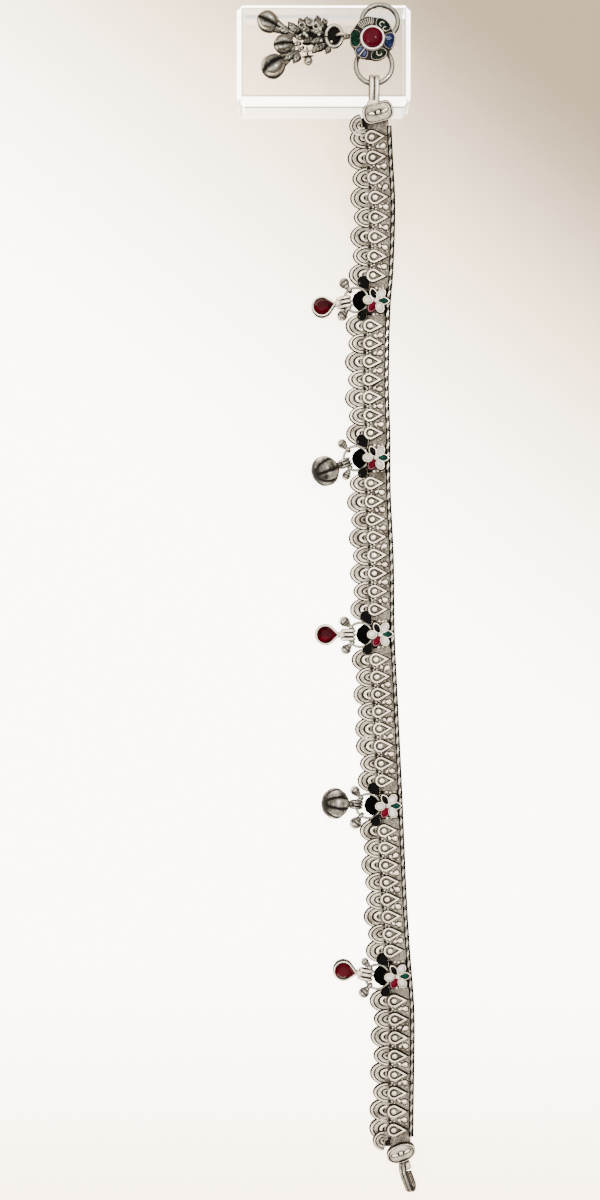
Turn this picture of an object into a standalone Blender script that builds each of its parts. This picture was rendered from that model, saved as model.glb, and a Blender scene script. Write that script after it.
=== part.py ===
"""A payal anklet laid open, its clasp end resting on a clear acrylic display block.

X runs across the band, Y along it (the clasp end is +Y) and Z is up. The origin is the centre of the
block's underside, which stands on the surface that the band lies on. Sizes are in metres, written in mm.
"""

import math

import bmesh
import bpy
from mathutils import Matrix, Vector

MM = 0.001

# Clearance between neighbouring pieces, how deep the shapes of one piece run into each other, and how
# far a lying piece stays above its surface
GAP = 0.3 * MM
SINK = 0.15 * MM
LIFT = 0.02 * MM

# Display block
BLOCK_WIDTH = 37.6 * MM
BLOCK_DEPTH = 21.2 * MM
BLOCK_HEIGHT = 11.0 * MM
BLOCK_BEVEL = 1.2 * MM

# Route of the band: its length, the slope that takes it from the block to the surface, and chosen
# points of its centre line as (distance from the upper cap, X), in mm
BAND_LENGTH = 230.7 * MM
SLOPE_RUN = 46.0 * MM
ROUTE_STEP = 0.5 * MM
ROUTE_SPARE = 12.0 * MM
CAP_OVERHANG = 2.4 * MM
BAND_ROUTE = [
    (0.0, 10.6), (9.2, 11.4), (18.1, 12.1), (31.6, 11.9), (38.1, 11.4), (47.0, 11.1),
    (58.2, 11.0), (67.6, 11.3), (80.6, 11.4), (96.2, 12.1), (112.6, 12.3), (129.8, 13.1),
    (150.8, 14.1), (170.0, 14.9), (183.5, 15.7), (197.0, 16.7), (208.0, 16.7), (222.8, 16.5),
    (240.0, 16.5),
]

# Ground strip of the band
STRIP_THICK = 0.7 * MM
STRIP_LEFT = 2.75 * MM
STRIP_RIGHT = 2.6 * MM

# Teardrops, one to a panel
TEAR_WIDTH = 2.85 * MM
TEAR_POINT = 1.55 * MM
TEAR_RISE = 0.9 * MM
TEAR_RIM_RISE = 0.65 * MM
TEAR_DRAFT = 0.06
TEAR_SHIFT = 0.06 * MM

# Leaves down the left side: a long lower one and a short upper one by turns
LEAF_ROOT = 2.25 * MM
LONG_LEAF_REACH = 5.95 * MM
LONG_LEAF_HEIGHT = 5.2 * MM
LONG_LEAF_TOP = 0.85 * MM
SHORT_LEAF_REACH = 5.25 * MM
SHORT_LEAF_HEIGHT = 4.3 * MM
SHORT_LEAF_TOP = 1.25 * MM
LEAF_THICK = 0.85 * MM
END_LEAF_PLACE = 2.5 * MM
END_LEAF_LIFT = 0.06 * MM

# Room from a station's ring, and from a cap's middle, to the nearest teardrop's centre
STATION_ROOM = 2.9 * MM
CAP_REACH = 5.0 * MM
PANEL_MARGIN = 0.5 * MM

# The six lengths of band between the stations, as shares of the band's length, each with its leaves:
# s is a short one, l a long one
SECTIONS = [
    dict(share=0.1743, leaves="slslslsl"),
    dict(share=0.1526, leaves="lslslsl"),
    dict(share=0.1708, leaves="slslslsl"),
    dict(share=0.1660, leaves="lslsllsl"),
    dict(share=0.1651, leaves="lslsslsl"),
    dict(share=0.1712, leaves="lslslsll"),
]

# Chain along the right edge
CHAIN_RADIUS = 0.5 * MM
CHAIN_PLAY = 0.05 * MM
CHAIN_COUNT = 76

# Flower stations: back plate, flower and the ring that the drops hang on
PLATE_THICK = 0.4 * MM
PLATE_NECK = 1.5 * MM
# Left edge of the back plate round the ring, as shares of the ring's radius across and along
PLATE_EDGE = [(-0.70, 0.93), (-1.26, 0.81), (-1.67, 0.46)]
PLATE_TIP = -1.81
STATION_SHIFT = 0.5 * MM
STATION_FLOWER_RADIUS = 3.0 * MM
STATION_FLOWER_RISE = 0.95 * MM
POST_RADIUS = 0.3 * MM
POST_INSET = 0.02 * MM
PEDESTAL_RADIUS = 1.0 * MM
HANGER_RADIUS = 2.7 * MM
HANGER_WIRE = 0.225 * MM
HANGER_SLACK = 0.1 * MM

# Drops
LOOP_WIRE = 0.18 * MM
SMALL_BELL_RADIUS = 1.2 * MM
PEAR_BAIL_WIDTH = 1.3 * MM
PEAR_BAIL_THICK = 0.3 * MM
PEAR_BAIL_SLACK = 0.07 * MM
PEAR_NECK_LENGTH = 0.95 * MM
PEAR_NECK_RADIUS = 0.4 * MM
PEAR_WIDTH = 4.7 * MM
PEAR_POINT = 1.05 * MM
PEAR_DEPTH = 1.9 * MM
PEAR_WALL = 0.5 * MM
PEAR_FLOOR = 0.5 * MM
STONE_RISE = 0.5 * MM
GIRDLE_DEPTH = 0.15 * MM
BELL_LENGTH = 6.1 * MM
BELL_RADIUS = 3.4 * MM
BELL_NECK_LENGTH = 1.7 * MM
BELL_NECK_RADIUS = 0.5 * MM
# One row a station: the main drop and its angle round the ring, then each small bell's angle and its
# share of the small bells' radius
DROPS = [
    dict(main="pear", angle=195.0, small=((129.0, 1.0), (232.0, 1.0))),
    dict(main="bell", angle=204.0, small=((133.0, 0.88), (241.0, 0.83))),
    dict(main="pear", angle=178.0, small=((138.0, 1.0), (224.0, 0.96))),
    dict(main="bell", angle=170.0, small=((128.0, 0.92), (230.0, 1.12))),
    dict(main="pear", angle=164.0, small=((125.0, 0.75), (224.0, 1.0))),
]

# End caps
CAP_WIDTH = 6.5 * MM
CAP_HEIGHT = 3.9 * MM
CAP_THICK = 2.1 * MM
CAP_CORNER = 1.5 * MM
CAP_RIM = 0.4 * MM
CAP_RECESS = 0.25 * MM
CAP_BOSS = 0.55 * MM
CAP_SHIFT = 0.95 * MM
UPPER_CAP_TURN = 8.5
LOWER_CAP_TURN = 20.0

# Jump rings of the clasp: their wires cross the staple at the Y values given
RING_RADIUS = 3.87 * MM
RING_WIRE = 0.525 * MM
UPPER_RING_X = 12.0 * MM
UPPER_RING_START = 2.09 * MM
LOWER_RING_X = 10.72 * MM
LOWER_RING_START = 0.05 * MM

# Clasp flower, with the staple at its back that both rings hang in
STAPLE_WIRE = 0.4 * MM
STAPLE_BEND = 0.35 * MM
STAPLE_SLACK = 0.12 * MM
FLOWER_X = 10.27 * MM
FLOWER_Y = 1.12 * MM
FLOWER_RADIUS = 4.75 * MM
FLOWER_THICK = 1.2 * MM
FLOWER_TURN = 50.0
BEZEL_RADIUS = 2.62 * MM
BEZEL_WALL = 0.38 * MM
BEZEL_COLLAR = 0.1 * MM
BEZEL_RISE = 0.4 * MM
CABOCHON_RISE = 2.0 * MM

# Double-wire bail of the upper cap, and double-wire hook of the lower one
BAIL_WIRE_WIDE = 0.62 * MM
BAIL_WIRE_FLAT = 0.42 * MM
BAIL_SPREAD = 0.57 * MM
BAIL_SLACK = 0.15 * MM
BAIL_FOOT_SPREAD = 0.25 * MM
HOOK_WIRE = 0.45 * MM
HOOK_SPREAD = 0.42 * MM
HOOK_REACH = 8.9 * MM
HOOK_MOUTH = 1.0 * MM
HOOK_BEND = 1.05 * MM
HOOK_LEAN = 28.0
STUB_WIDTH = 2.3 * MM
STUB_LENGTH = 1.9 * MM
STUB_ROOT = 0.6 * MM

# Charm beside the clasp: its ring, cast head and bells
CHARM_RING_X = 2.2 * MM
CHARM_RING_Y = 2.65 * MM
CHARM_RING_HALF_WIDTH = 1.75 * MM
CHARM_RING_HALF_HEIGHT = 2.3 * MM
CHARM_RING_WIRE = 0.42 * MM
EYE_RADIUS = 1.15 * MM
EYE_WIRE = 0.33 * MM
ARM_WIRE = 0.4 * MM
CHARM_LOOP_RADIUS = 0.78 * MM
CHARM_LOOP_WIRE = 0.2 * MM
CHARM_BAR_LEFT = 5.95 * MM
CHARM_BAR_BELOW = 1.25 * MM
CHARM_BAR_RADIUS = 2.0 * MM
CHARM_BAR_WIRE = 0.22 * MM
# Lumps of the cast head, as shares of its size: place from the ring's centre, half-sizes, then the turn
HEAD_SIZE = 3.2 * MM
HEAD_LUMPS = [
    dict(x=-1.625, y=0.36, wide=1.0, tall=0.66, deep=0.47, turn=-20.0),
    dict(x=-2.38, y=0.92, wide=0.75, tall=0.47, deep=0.38, turn=28.0),
    dict(x=-1.16, y=0.80, wide=0.69, tall=0.31, deep=0.31, turn=-38.0),
    dict(x=-0.94, y=-0.39, wide=0.59, tall=0.28, deep=0.28, turn=28.0),
    dict(x=-2.75, y=0.52, wide=0.34, tall=0.25, deep=0.31, turn=0.0),
]
# Bells of the charm: angle round the bar, heading, and shares of the bells' radius and the neck's length
CHARM_BELL_RADIUS = 2.3 * MM
CHARM_NECK_LENGTH = 4.3 * MM
CHARM_NECK_RADIUS = 0.36 * MM
CHARM_BELLS = [
    dict(name="charm_bell_upper", angle=152.0, heading=155.0, radius=1.0, neck=1.0),
    dict(name="charm_bell_middle", angle=192.0, heading=188.0, radius=0.89, neck=0.09),
    dict(name="charm_bell_lower", angle=232.0, heading=215.0, radius=1.09, neck=0.98),
    dict(name="charm_bead", angle=276.0, heading=276.0, radius=0.41, neck=0.05),
]

# Facets of round pieces
RING_SIDES = 16
WIRE_SIDES = 6
LOOP_SIDES = 10
LOOP_WIRE_SIDES = 5
BEAD_SIDES = 10
BEAD_ROWS = 4
TEAR_SIDES = 7
LEAF_SIDES = 5
POST_SIDES = 6
HANGER_SIDES = 12
PEAR_SIDES = 11
BELL_SIDES = 12

# Places and sizes that follow from those above
UPPER_RING_Y = UPPER_RING_START + RING_RADIUS
LOWER_RING_Y = LOWER_RING_START - RING_RADIUS
STATION_REACH = HANGER_RADIUS + STATION_ROOM
END_LEAF_ROOT = CAP_WIDTH / 2 - CAP_SHIFT + 2 * GAP
CHAIN_OFFSET = STRIP_RIGHT + GAP + CHAIN_PLAY + CHAIN_RADIUS
TOP = BLOCK_HEIGHT + GAP
RING_Z = TOP + 2 * max(STAPLE_WIRE, BAIL_WIRE_FLAT) + GAP + BAIL_SLACK + RING_WIRE
FLOWER_Z = RING_Z + RING_WIRE + GAP
HANGER_Z = PLATE_THICK + GAP + HANGER_WIRE
STATION_FLOWER_Z = HANGER_Z + HANGER_WIRE + GAP
LOOP_RADIUS = HANGER_WIRE + GAP + LOOP_WIRE
PEAR_BAIL_RADIUS = HANGER_WIRE + GAP + PEAR_BAIL_THICK / 2 + PEAR_BAIL_SLACK
PEAR_LENGTH = PEAR_WIDTH + PEAR_POINT
CHARM_Z = TOP + 2 * EYE_WIRE + GAP + CHARM_RING_WIRE

# Name, colour, roughness, metallic value and alpha of each finish
FINISHES = {
    "oxidised_silver": ((0.74, 0.71, 0.65), 0.38, 1.0, 1.0),
    "polished_silver": ((0.60, 0.58, 0.54), 0.22, 1.0, 1.0),
    "red_cabochon": ((0.45, 0.01, 0.04), 0.12, 0.0, 1.0),
    "crimson_stone": ((0.42, 0.01, 0.07), 0.08, 0.0, 1.0),
    "clear_acrylic": ((0.95, 0.96, 0.95), 0.05, 0.0, 0.35),
}


def finish(name):
    """The named material, made once."""
    if name in bpy.data.materials:
        return bpy.data.materials[name]
    colour, roughness, metallic, alpha = FINISHES[name]
    material = bpy.data.materials.new(name)
    material.use_nodes = True
    shader = material.node_tree.nodes["Principled BSDF"]
    shader.inputs["Base Color"].default_value = (*colour, 1.0)
    shader.inputs["Roughness"].default_value = roughness
    shader.inputs["Metallic"].default_value = metallic
    shader.inputs["Alpha"].default_value = alpha
    material.diffuse_color = (*colour, alpha)
    return material


# Building blocks


def skin(loops, bottom=None, top=None):
    """A closed shell through rings of points. Each end is a flat cap, or a fan to the point given."""
    shell = bmesh.new()
    rings = [[shell.verts.new(point) for point in loop] for loop in loops]
    for low, high in zip(rings, rings[1:]):
        for i in range(len(low)):
            j = (i + 1) % len(low)
            shell.faces.new((low[i], low[j], high[j], high[i]))
    for ring, apex in ((rings[0], bottom), (rings[-1], top)):
        if apex is None:
            shell.faces.new(ring)
            continue
        tip = shell.verts.new(apex)
        for i in range(len(ring)):
            shell.faces.new((ring[i], ring[(i + 1) % len(ring)], tip))
    bmesh.ops.recalc_face_normals(shell, faces=shell.faces)
    return shell


def moved(shell, matrix):
    """The shell, carried by a matrix."""
    shell.transform(matrix)
    return shell


def merged(shells):
    """Shells that don't touch, as one mesh."""
    whole = bmesh.new()
    for shell in shells:
        part = bpy.data.meshes.new("part")
        shell.to_mesh(part)
        shell.free()
        whole.from_mesh(part)
        bpy.data.meshes.remove(part)
    return whole


def flat_loop(outline, height, scale=1.0, centre=(0.0, 0.0)):
    """An outline at a height, scaled about a point of its plane."""
    cx, cy = centre
    return [Vector((cx + (x - cx) * scale, cy + (y - cy) * scale, height)) for x, y in outline]


def circle(radius, sides, phase=0.0):
    turns = [phase + 2 * math.pi * i / sides for i in range(sides)]
    return [(radius * math.cos(turn), radius * math.sin(turn)) for turn in turns]


def cylinder(radius, low, high, sides=RING_SIDES):
    outline = circle(radius, sides)
    return skin([flat_loop(outline, low), flat_loop(outline, high)])


def tube(points, radius, sides=WIRE_SIDES, closed=False, across=None):
    """A wire along points that lie in one plane. `across` is its half-width square to that plane."""
    points = [Vector(point) for point in points]
    across = across or radius
    plane = Vector((0.0, 0.0, 0.0))
    for i in range(1, len(points) - 1):
        plane += (points[i] - points[i - 1]).cross(points[i + 1] - points[i])
    plane = plane.normalized() if plane.length > 0 else Vector((0.0, 0.0, 1.0))
    shell = bmesh.new()
    rings = []
    last = len(points) - 1
    for i, point in enumerate(points):
        before = points[i - 1] if i > 0 or closed else point
        after = points[(i + 1) % len(points)] if i < last or closed else point
        out = (after - before).normalized().cross(plane)
        turns = [2 * math.pi * k / sides for k in range(sides)]
        ring = [point + out * radius * math.cos(t) + plane * across * math.sin(t) for t in turns]
        rings.append([shell.verts.new(co) for co in ring])
    for low, high in zip(rings, rings[1:] + rings[:1] if closed else rings[1:]):
        for k in range(sides):
            n = (k + 1) % sides
            shell.faces.new((low[k], low[n], high[n], high[k]))
    if not closed:
        shell.faces.new(rings[0])
        shell.faces.new(rings[-1])
    bmesh.ops.recalc_face_normals(shell, faces=shell.faces)
    return shell


def ring(radius, wire, sides=RING_SIDES, wire_sides=WIRE_SIDES, tall=None, across=None):
    """A round or oval wire ring in the XY plane."""
    stretch = (tall or radius) / radius
    points = [(x, y * stretch, 0.0) for x, y in circle(radius, sides)]
    return tube(points, wire, wire_sides, closed=True, across=across)


def turned(profile, sides=BEAD_SIDES):
    """A shape turned about X, from (distance, radius) rows between two points on the axis."""
    start, *rows, end = profile
    loops = [[Vector((x, a, b)) for a, b in circle(radius, sides)] for x, radius in rows]
    return skin(loops, bottom=Vector((start[0], 0, 0)), top=Vector((end[0], 0, 0)))


def ball(centre_x, radius, sides=BEAD_SIDES, rows=BEAD_ROWS):
    """A round bead on the X axis."""
    turns = [math.pi * k / rows for k in range(rows + 1)]
    rings = [(centre_x - radius * math.cos(turn), radius * math.sin(turn)) for turn in turns]
    return turned(rings, sides)


def placed(name, shell, material):
    """A new object in the scene from a shell."""
    bmesh.ops.triangulate(shell, faces=shell.faces)
    mesh = bpy.data.meshes.new(name)
    shell.to_mesh(mesh)
    shell.free()
    thing = bpy.data.objects.new(name, mesh)
    bpy.context.scene.collection.objects.link(thing)
    mesh.materials.append(finish(material))
    return thing


def piece(name, material, shells, seat):
    """One named sub-part: its shells united into one body, with its origin on its seat."""
    body = placed(name, shells[0], material)
    helpers = [placed(name + "_joined", shell, material) for shell in shells[1:]]
    for helper in helpers:
        join = body.modifiers.new("join", "BOOLEAN")
        join.operation = "UNION"
        join.solver = "EXACT"
        join.object = helper
    if helpers:
        graph = bpy.context.evaluated_depsgraph_get()
        whole = bpy.data.meshes.new_from_object(body.evaluated_get(graph))
        body.modifiers.clear()
        plain = body.data
        body.data = whole
        bpy.data.meshes.remove(plain)
        whole.name = name
        for helper in helpers:
            bpy.data.objects.remove(helper)
    body.data.transform(Matrix.Translation(-Vector(seat)))
    body.location = seat
    body.parent = anklet
    body.data.shade_smooth()
    body.data.set_sharp_from_angle(angle=math.radians(35))
    return body


# The band's route


def route_x(run):
    """X of the centre line at a level distance from the upper cap, as a smooth curve through the points."""
    rows = [(a * MM, b * MM) for a, b in BAND_ROUTE]
    i = max(1, min(len(rows) - 1, sum(1 for a, _ in rows if a <= run)))
    slopes = []
    for k in (i - 1, i):
        low, high = rows[max(k - 1, 0)], rows[min(k + 1, len(rows) - 1)]
        slopes.append((high[1] - low[1]) / (high[0] - low[0]))
    (a, xa), (b, xb) = rows[i - 1], rows[i]
    step = b - a
    u = min((run - a) / step, 1.0)
    hermite = (2 * u**3 - 3 * u**2 + 1, u**3 - 2 * u**2 + u, 3 * u**2 - 2 * u**3, u**3 - u**2)
    return hermite[0] * xa + hermite[1] * step * slopes[0] + hermite[2] * xb + hermite[3] * step * slopes[1]


def route_z(run):
    """Height of the band's underside: one arc from the block's top down to the surface."""
    bend = (SLOPE_RUN**2 + TOP**2) / (2 * TOP)
    left = max(0.0, SLOPE_RUN - run)
    return bend - math.sqrt(bend**2 - left**2)


def route_samples():
    """(distance along the band, point) at even steps of the level run."""
    start_y = -BLOCK_DEPTH / 2 - CAP_OVERHANG
    found = []
    length = 0.0
    while length < BAND_LENGTH + ROUTE_SPARE:
        run = len(found) * ROUTE_STEP
        point = Vector((route_x(run), start_y - run, route_z(run)))
        if found:
            length += (point - found[-1][1]).length
        found.append((length, point))
    return found


def on_band(distance, aside=0.0, up=0.0):
    """The frame at a distance from the upper cap: local X is across, Y back up the band, Z out of it."""
    i = min(max(1, sum(1 for length, _ in SAMPLES if length <= distance)), len(SAMPLES) - 1)
    (la, a), (lb, b) = SAMPLES[i - 1], SAMPLES[i]
    point = a.lerp(b, (distance - la) / (lb - la))
    low, high = SAMPLES[max(i - 6, 0)][1], SAMPLES[min(i + 5, len(SAMPLES) - 1)][1]
    back = (low - high).normalized()
    side = back.cross(Vector((0, 0, 1))).normalized()
    out = side.cross(back)
    frame = Matrix((side, back, out)).transposed().to_4x4()
    frame.translation = point
    return frame @ Matrix.Translation((aside, 0.0, up))


def station_places():
    """Distance of each station's flower from the upper cap."""
    places = []
    along = 0.0
    for section in SECTIONS[:-1]:
        along += section["share"] * BAND_LENGTH
        places.append(along)
    return places


def section_ends(index):
    """Where a section's first and last teardrops lie."""
    bounds = [0.0, *station_places(), BAND_LENGTH]
    before = CAP_REACH if index == 0 else STATION_REACH
    after = CAP_REACH if index == len(SECTIONS) - 1 else STATION_REACH
    return bounds[index] + before, bounds[index + 1] - after


# Band


def teardrop_outline(width, point, sides=TEAR_SIDES):
    """Round end at the left, its centre at the origin, and a point that stands out past a full circle."""
    radius = width / 2
    reach = radius + point
    edge = math.acos(radius / reach)
    turns = [edge + (2 * math.pi - 2 * edge) * i / (sides - 1) for i in range(sides)]
    return [(reach, 0.0)] + [(radius * math.cos(turn), radius * math.sin(turn)) for turn in turns]


def teardrop(frame):
    """One raised teardrop with a steep rim and a peaked middle, bedded in the strip."""
    outline = teardrop_outline(TEAR_WIDTH, TEAR_POINT)
    rim = STRIP_THICK + TEAR_RIM_RISE
    loops = [flat_loop(outline, STRIP_THICK / 2), flat_loop(outline, rim, 1 - TEAR_DRAFT)]
    shape = skin(loops, top=Vector((0.05 * TEAR_WIDTH, 0.0, STRIP_THICK + TEAR_RISE)))
    return moved(shape, frame @ Matrix.Translation((TEAR_SHIFT - TEAR_POINT / 2, 0.0, 0.0)))


def leaf(frame, kind, root=LEAF_ROOT):
    """One leaf: a scallop with a raised edge round a dished middle, rooted under the teardrops."""
    long = kind == "l"
    reach = LONG_LEAF_REACH if long else SHORT_LEAF_REACH
    height = LONG_LEAF_HEIGHT if long else SHORT_LEAF_HEIGHT
    high = LONG_LEAF_TOP if long else SHORT_LEAF_TOP
    low = max(high - LEAF_THICK, 2 * LIFT)
    turns = [math.pi / 2 + math.pi * i / LEAF_SIDES for i in range(LEAF_SIDES + 1)]
    size = reach - root
    outline = [(-root + size * math.cos(t), height / 2 * math.sin(t)) for t in turns]
    middle = (-root - 0.42 * size, 0.0)
    loops = [flat_loop(outline, low), flat_loop(outline, high, 0.94, middle)]
    dish = Vector((middle[0], 0.0, high - 0.4 * LEAF_THICK))
    return moved(skin(loops, top=dish), frame)


def strip(start, end, count):
    """The ground strip, bent along the route."""
    left, right = -STRIP_LEFT, STRIP_RIGHT
    corners = ((left, 0.0), (right, 0.0), (right, STRIP_THICK), (left, STRIP_THICK))
    loops = []
    for i in range(count + 1):
        frame = on_band(start + (end - start) * i / count)
        loops.append([frame @ Vector((x, 0.0, z)) for x, z in corners])
    return skin(loops)


def band_section(index):
    """One length of band: its strip, its teardrops and its leaves, cast as one."""
    first, last = section_ends(index)
    leaves = SECTIONS[index]["leaves"]
    count = len(leaves)
    pitch = (last - first) / (count - 1)
    margin = TEAR_WIDTH / 2 + PANEL_MARGIN
    places = [first + pitch * i for i in range(count)]
    tears = merged([teardrop(on_band(place)) for place in places])
    scallops = {"s": [], "l": []}
    for i, (place, kind) in enumerate(zip(places, leaves)):
        scallops[kind].append((i, leaf(on_band(place), kind)))
    shells = [strip(first - margin, last + margin, (count + 1) // 2), tears]
    for kind in ("l", "s"):
        # Neighbours of one kind overlap, so they're joined one by one, the rest at once
        apart = [shell for i, shell in scallops[kind] if i == 0 or leaves[i - 1] != kind]
        close = [shell for i, shell in scallops[kind] if i > 0 and leaves[i - 1] == kind]
        shells.append(merged(apart))
        shells.extend(close)
    if index == 0:
        end = on_band(END_LEAF_PLACE, up=END_LEAF_LIFT)
        shells.append(leaf(end, "s", END_LEAF_ROOT))
    if index == len(SECTIONS) - 1:
        end = on_band(BAND_LENGTH - END_LEAF_PLACE, up=END_LEAF_LIFT)
        shells.append(leaf(end, "s", END_LEAF_ROOT))
    seat = on_band((first + last) / 2).translation
    piece(f"band_section_{index + 1}", "oxidised_silver", shells, seat)


def edge_chain():
    """The chain along the right edge, as a tube of its outer size."""
    start = CAP_REACH - TEAR_WIDTH / 2 - PANEL_MARGIN
    end = BAND_LENGTH - start
    curve = bpy.data.curves.new("edge_chain", "CURVE")
    curve.dimensions = "3D"
    curve.bevel_depth = CHAIN_RADIUS
    curve.bevel_resolution = 2
    curve.use_fill_caps = True
    spline = curve.splines.new("POLY")
    spline.points.add(CHAIN_COUNT - 1)
    for i, point in enumerate(spline.points):
        along = start + (end - start) * i / (CHAIN_COUNT - 1)
        point.co = (*on_band(along, CHAIN_OFFSET, CHAIN_RADIUS).translation, 1.0)
    chain = bpy.data.objects.new("edge_chain", curve)
    bpy.context.scene.collection.objects.link(chain)
    curve.materials.append(finish("oxidised_silver"))
    chain.parent = anklet


# Flowers


def flower(radius, rise, petals, rows, top=None, turn=0.0, edge=17.0):
    """A flower of rounded petals as rings of points. Each row has its height on the petals (high) and
    between them (low), as shares of the rise, and follows the petals' outline (share) or is round."""
    step = 2 * math.pi / petals
    columns = [(-0.5, 0.74), (-edge / 60, 0.95), (0.0, 1.0), (edge / 60, 0.95)]
    loops = []
    for row in rows:
        loop = []
        for petal in range(petals):
            for place, share in columns:
                angle = math.radians(turn) + (petal + place) * step
                reach = row["round"] if "round" in row else radius * share * row["share"]
                height = rise * (row["low"] if place == -0.5 else row["high"])
                loop.append(Vector((reach * math.cos(angle), reach * math.sin(angle), height)))
        loops.append(loop)
    return skin(loops, bottom=Vector((0, 0, 0)), top=top)


def station_plate_outline():
    """Outline of a station's back plate, mirrored about the ring's centre line."""
    end = STATION_REACH - TEAR_WIDTH / 2 - PANEL_MARGIN - GAP
    half = [(STRIP_RIGHT, end), (-PLATE_NECK, end)]
    half += [(x * HANGER_RADIUS, y * HANGER_RADIUS) for x, y in PLATE_EDGE]
    return half + [(PLATE_TIP * HANGER_RADIUS, 0.0)] + [(x, -y) for x, y in reversed(half)]


def hanger_centre():
    """Across the band, the post of a station's ring and the ring's centre. The ring's right side passes
    between the post and the flower's pedestal."""
    post = STATION_SHIFT - STATION_FLOWER_RADIUS + POST_RADIUS + POST_INSET
    wire = post + POST_RADIUS + GAP + HANGER_SLACK + HANGER_WIRE
    return post, wire - HANGER_RADIUS


def station(index, place):
    """A back plate with its flower on a pedestal, and the post that holds the ring."""
    frame = on_band(place)
    outline = station_plate_outline()
    post, _ = hanger_centre()
    middle = PLATE_THICK / 2
    shells = [skin([flat_loop(outline, 0.0), flat_loop(outline, PLATE_THICK)])]
    for radius, across in ((PEDESTAL_RADIUS, STATION_SHIFT), (POST_RADIUS, post)):
        stem = cylinder(radius, middle, STATION_FLOWER_Z + middle, POST_SIDES)
        shells.append(moved(stem, Matrix.Translation((across, 0, 0))))
    rows = [
        dict(share=0.94, high=0.0, low=0.0),
        dict(share=1.0, high=0.6, low=0.4),
        dict(share=0.85, high=1.0, low=0.5),
        dict(share=0.3, high=0.55, low=0.5),
    ]
    rise = STATION_FLOWER_RISE
    bloom = flower(STATION_FLOWER_RADIUS, rise, 6, rows, top=Vector((0, 0, 1.2 * rise)))
    shells.append(moved(bloom, Matrix.Translation((STATION_SHIFT, 0, STATION_FLOWER_Z))))
    shells = [moved(shell, frame) for shell in shells]
    piece(f"station_{index + 1}", "oxidised_silver", shells, frame.translation)


def hanger_ring(index, place):
    frame = on_band(place, hanger_centre()[1], HANGER_Z)
    wire = moved(ring(HANGER_RADIUS, HANGER_WIRE, HANGER_SIDES, LOOP_WIRE_SIDES), frame)
    piece(f"hanger_ring_{index + 1}", "oxidised_silver", [wire], frame.translation)


# Drops of the stations


def drop_frame(place, angle, rest, reach):
    """The frame of a drop whose loop is at the origin and whose body lies along local X. `rest` is the
    body's height over the surface where it touches, and `reach` how far out that is."""
    turn = math.radians(angle)
    across = hanger_centre()[1] + HANGER_RADIUS * math.cos(turn)
    hook = on_band(place) @ Vector((across, HANGER_RADIUS * math.sin(turn), HANGER_Z))
    away = on_band(place).to_3x3() @ Vector((math.cos(turn), math.sin(turn), 0.0))
    heading = math.atan2(away.y, away.x)
    dip = math.asin(max(-1.0, min(1.0, (hook.z - rest) / reach)))
    return Matrix.Translation(hook) @ Matrix.Rotation(heading, 4, "Z") @ Matrix.Rotation(dip, 4, "Y")


def wire_loop(radius, wire, across=None):
    """A loop that stands in the XZ plane round the origin."""
    upright = Matrix.Rotation(math.pi / 2, 4, "X")
    return moved(ring(radius, wire, LOOP_SIDES, LOOP_WIRE_SIDES, across=across), upright)


def small_bell(index, number, place, angle, radius):
    out = LOOP_RADIUS + LOOP_WIRE + radius - SINK
    frame = drop_frame(place, angle, radius + LIFT, out)
    shells = [moved(ball(out, radius), frame), moved(wire_loop(LOOP_RADIUS, LOOP_WIRE), frame)]
    name = f"small_bell_{index + 1}_{number}"
    piece(name, "polished_silver", shells, frame.translation)


def pear_drop(index, place, angle):
    """A pear-shaped bezel on its bail, and the stone in it."""
    start = PEAR_BAIL_RADIUS + PEAR_NECK_LENGTH
    low = LIFT - HANGER_Z
    high = low + PEAR_DEPTH
    floor = low + PEAR_FLOOR
    radius = PEAR_WIDTH / 2
    middle = start + PEAR_LENGTH - radius
    frame = drop_frame(place, angle, HANGER_Z, start + PEAR_LENGTH)
    facing = frame @ Matrix.Translation((middle, 0, 0)) @ Matrix.Rotation(math.pi, 4, "Z")
    outline = teardrop_outline(PEAR_WIDTH, PEAR_POINT, PEAR_SIDES)
    inner = (radius - PEAR_WALL) / radius
    loops = [
        flat_loop(outline, low, 0.92),
        flat_loop(outline, high, 0.99),
        flat_loop(outline, high, inner),
        flat_loop(outline, floor, inner),
    ]
    root = start + PEAR_WALL
    neck = [
        (PEAR_BAIL_RADIUS - SINK, 0), (PEAR_BAIL_RADIUS, PEAR_NECK_RADIUS),
        (root, PEAR_NECK_RADIUS), (root + SINK, 0),
    ]
    loop = wire_loop(PEAR_BAIL_RADIUS, PEAR_BAIL_THICK / 2, PEAR_BAIL_WIDTH / 2)
    shells = [moved(skin(loops), facing), moved(loop, frame), moved(turned(neck, WIRE_SIDES), frame)]
    piece(f"pear_bezel_{index + 1}", "oxidised_silver", shells, frame.translation)
    girdle = (radius - PEAR_WALL - GAP) / radius
    loops = [
        flat_loop(outline, floor + GAP, 0.8 * girdle),
        flat_loop(outline, high - GIRDLE_DEPTH, girdle),
        flat_loop(outline, high + STONE_RISE, 0.66 * girdle),
    ]
    stone = moved(skin(loops), facing)
    piece(f"pear_stone_{index + 1}", "crimson_stone", [stone], facing.translation)


def bell_profile(start):
    """Rows of a bud-shaped bell on its neck: shoulder, belly and closed mouth."""
    shoulder = start + BELL_NECK_LENGTH
    rows = [(start, 0.0), (start + LIFT, BELL_NECK_RADIUS), (shoulder, BELL_NECK_RADIUS)]
    for along, wide in ((0.12, 0.62), (0.42, 1.0), (0.65, 0.97), (0.88, 0.62), (1.0, 0.0)):
        rows.append((shoulder + BELL_LENGTH * along, BELL_RADIUS * wide))
    return rows


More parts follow.
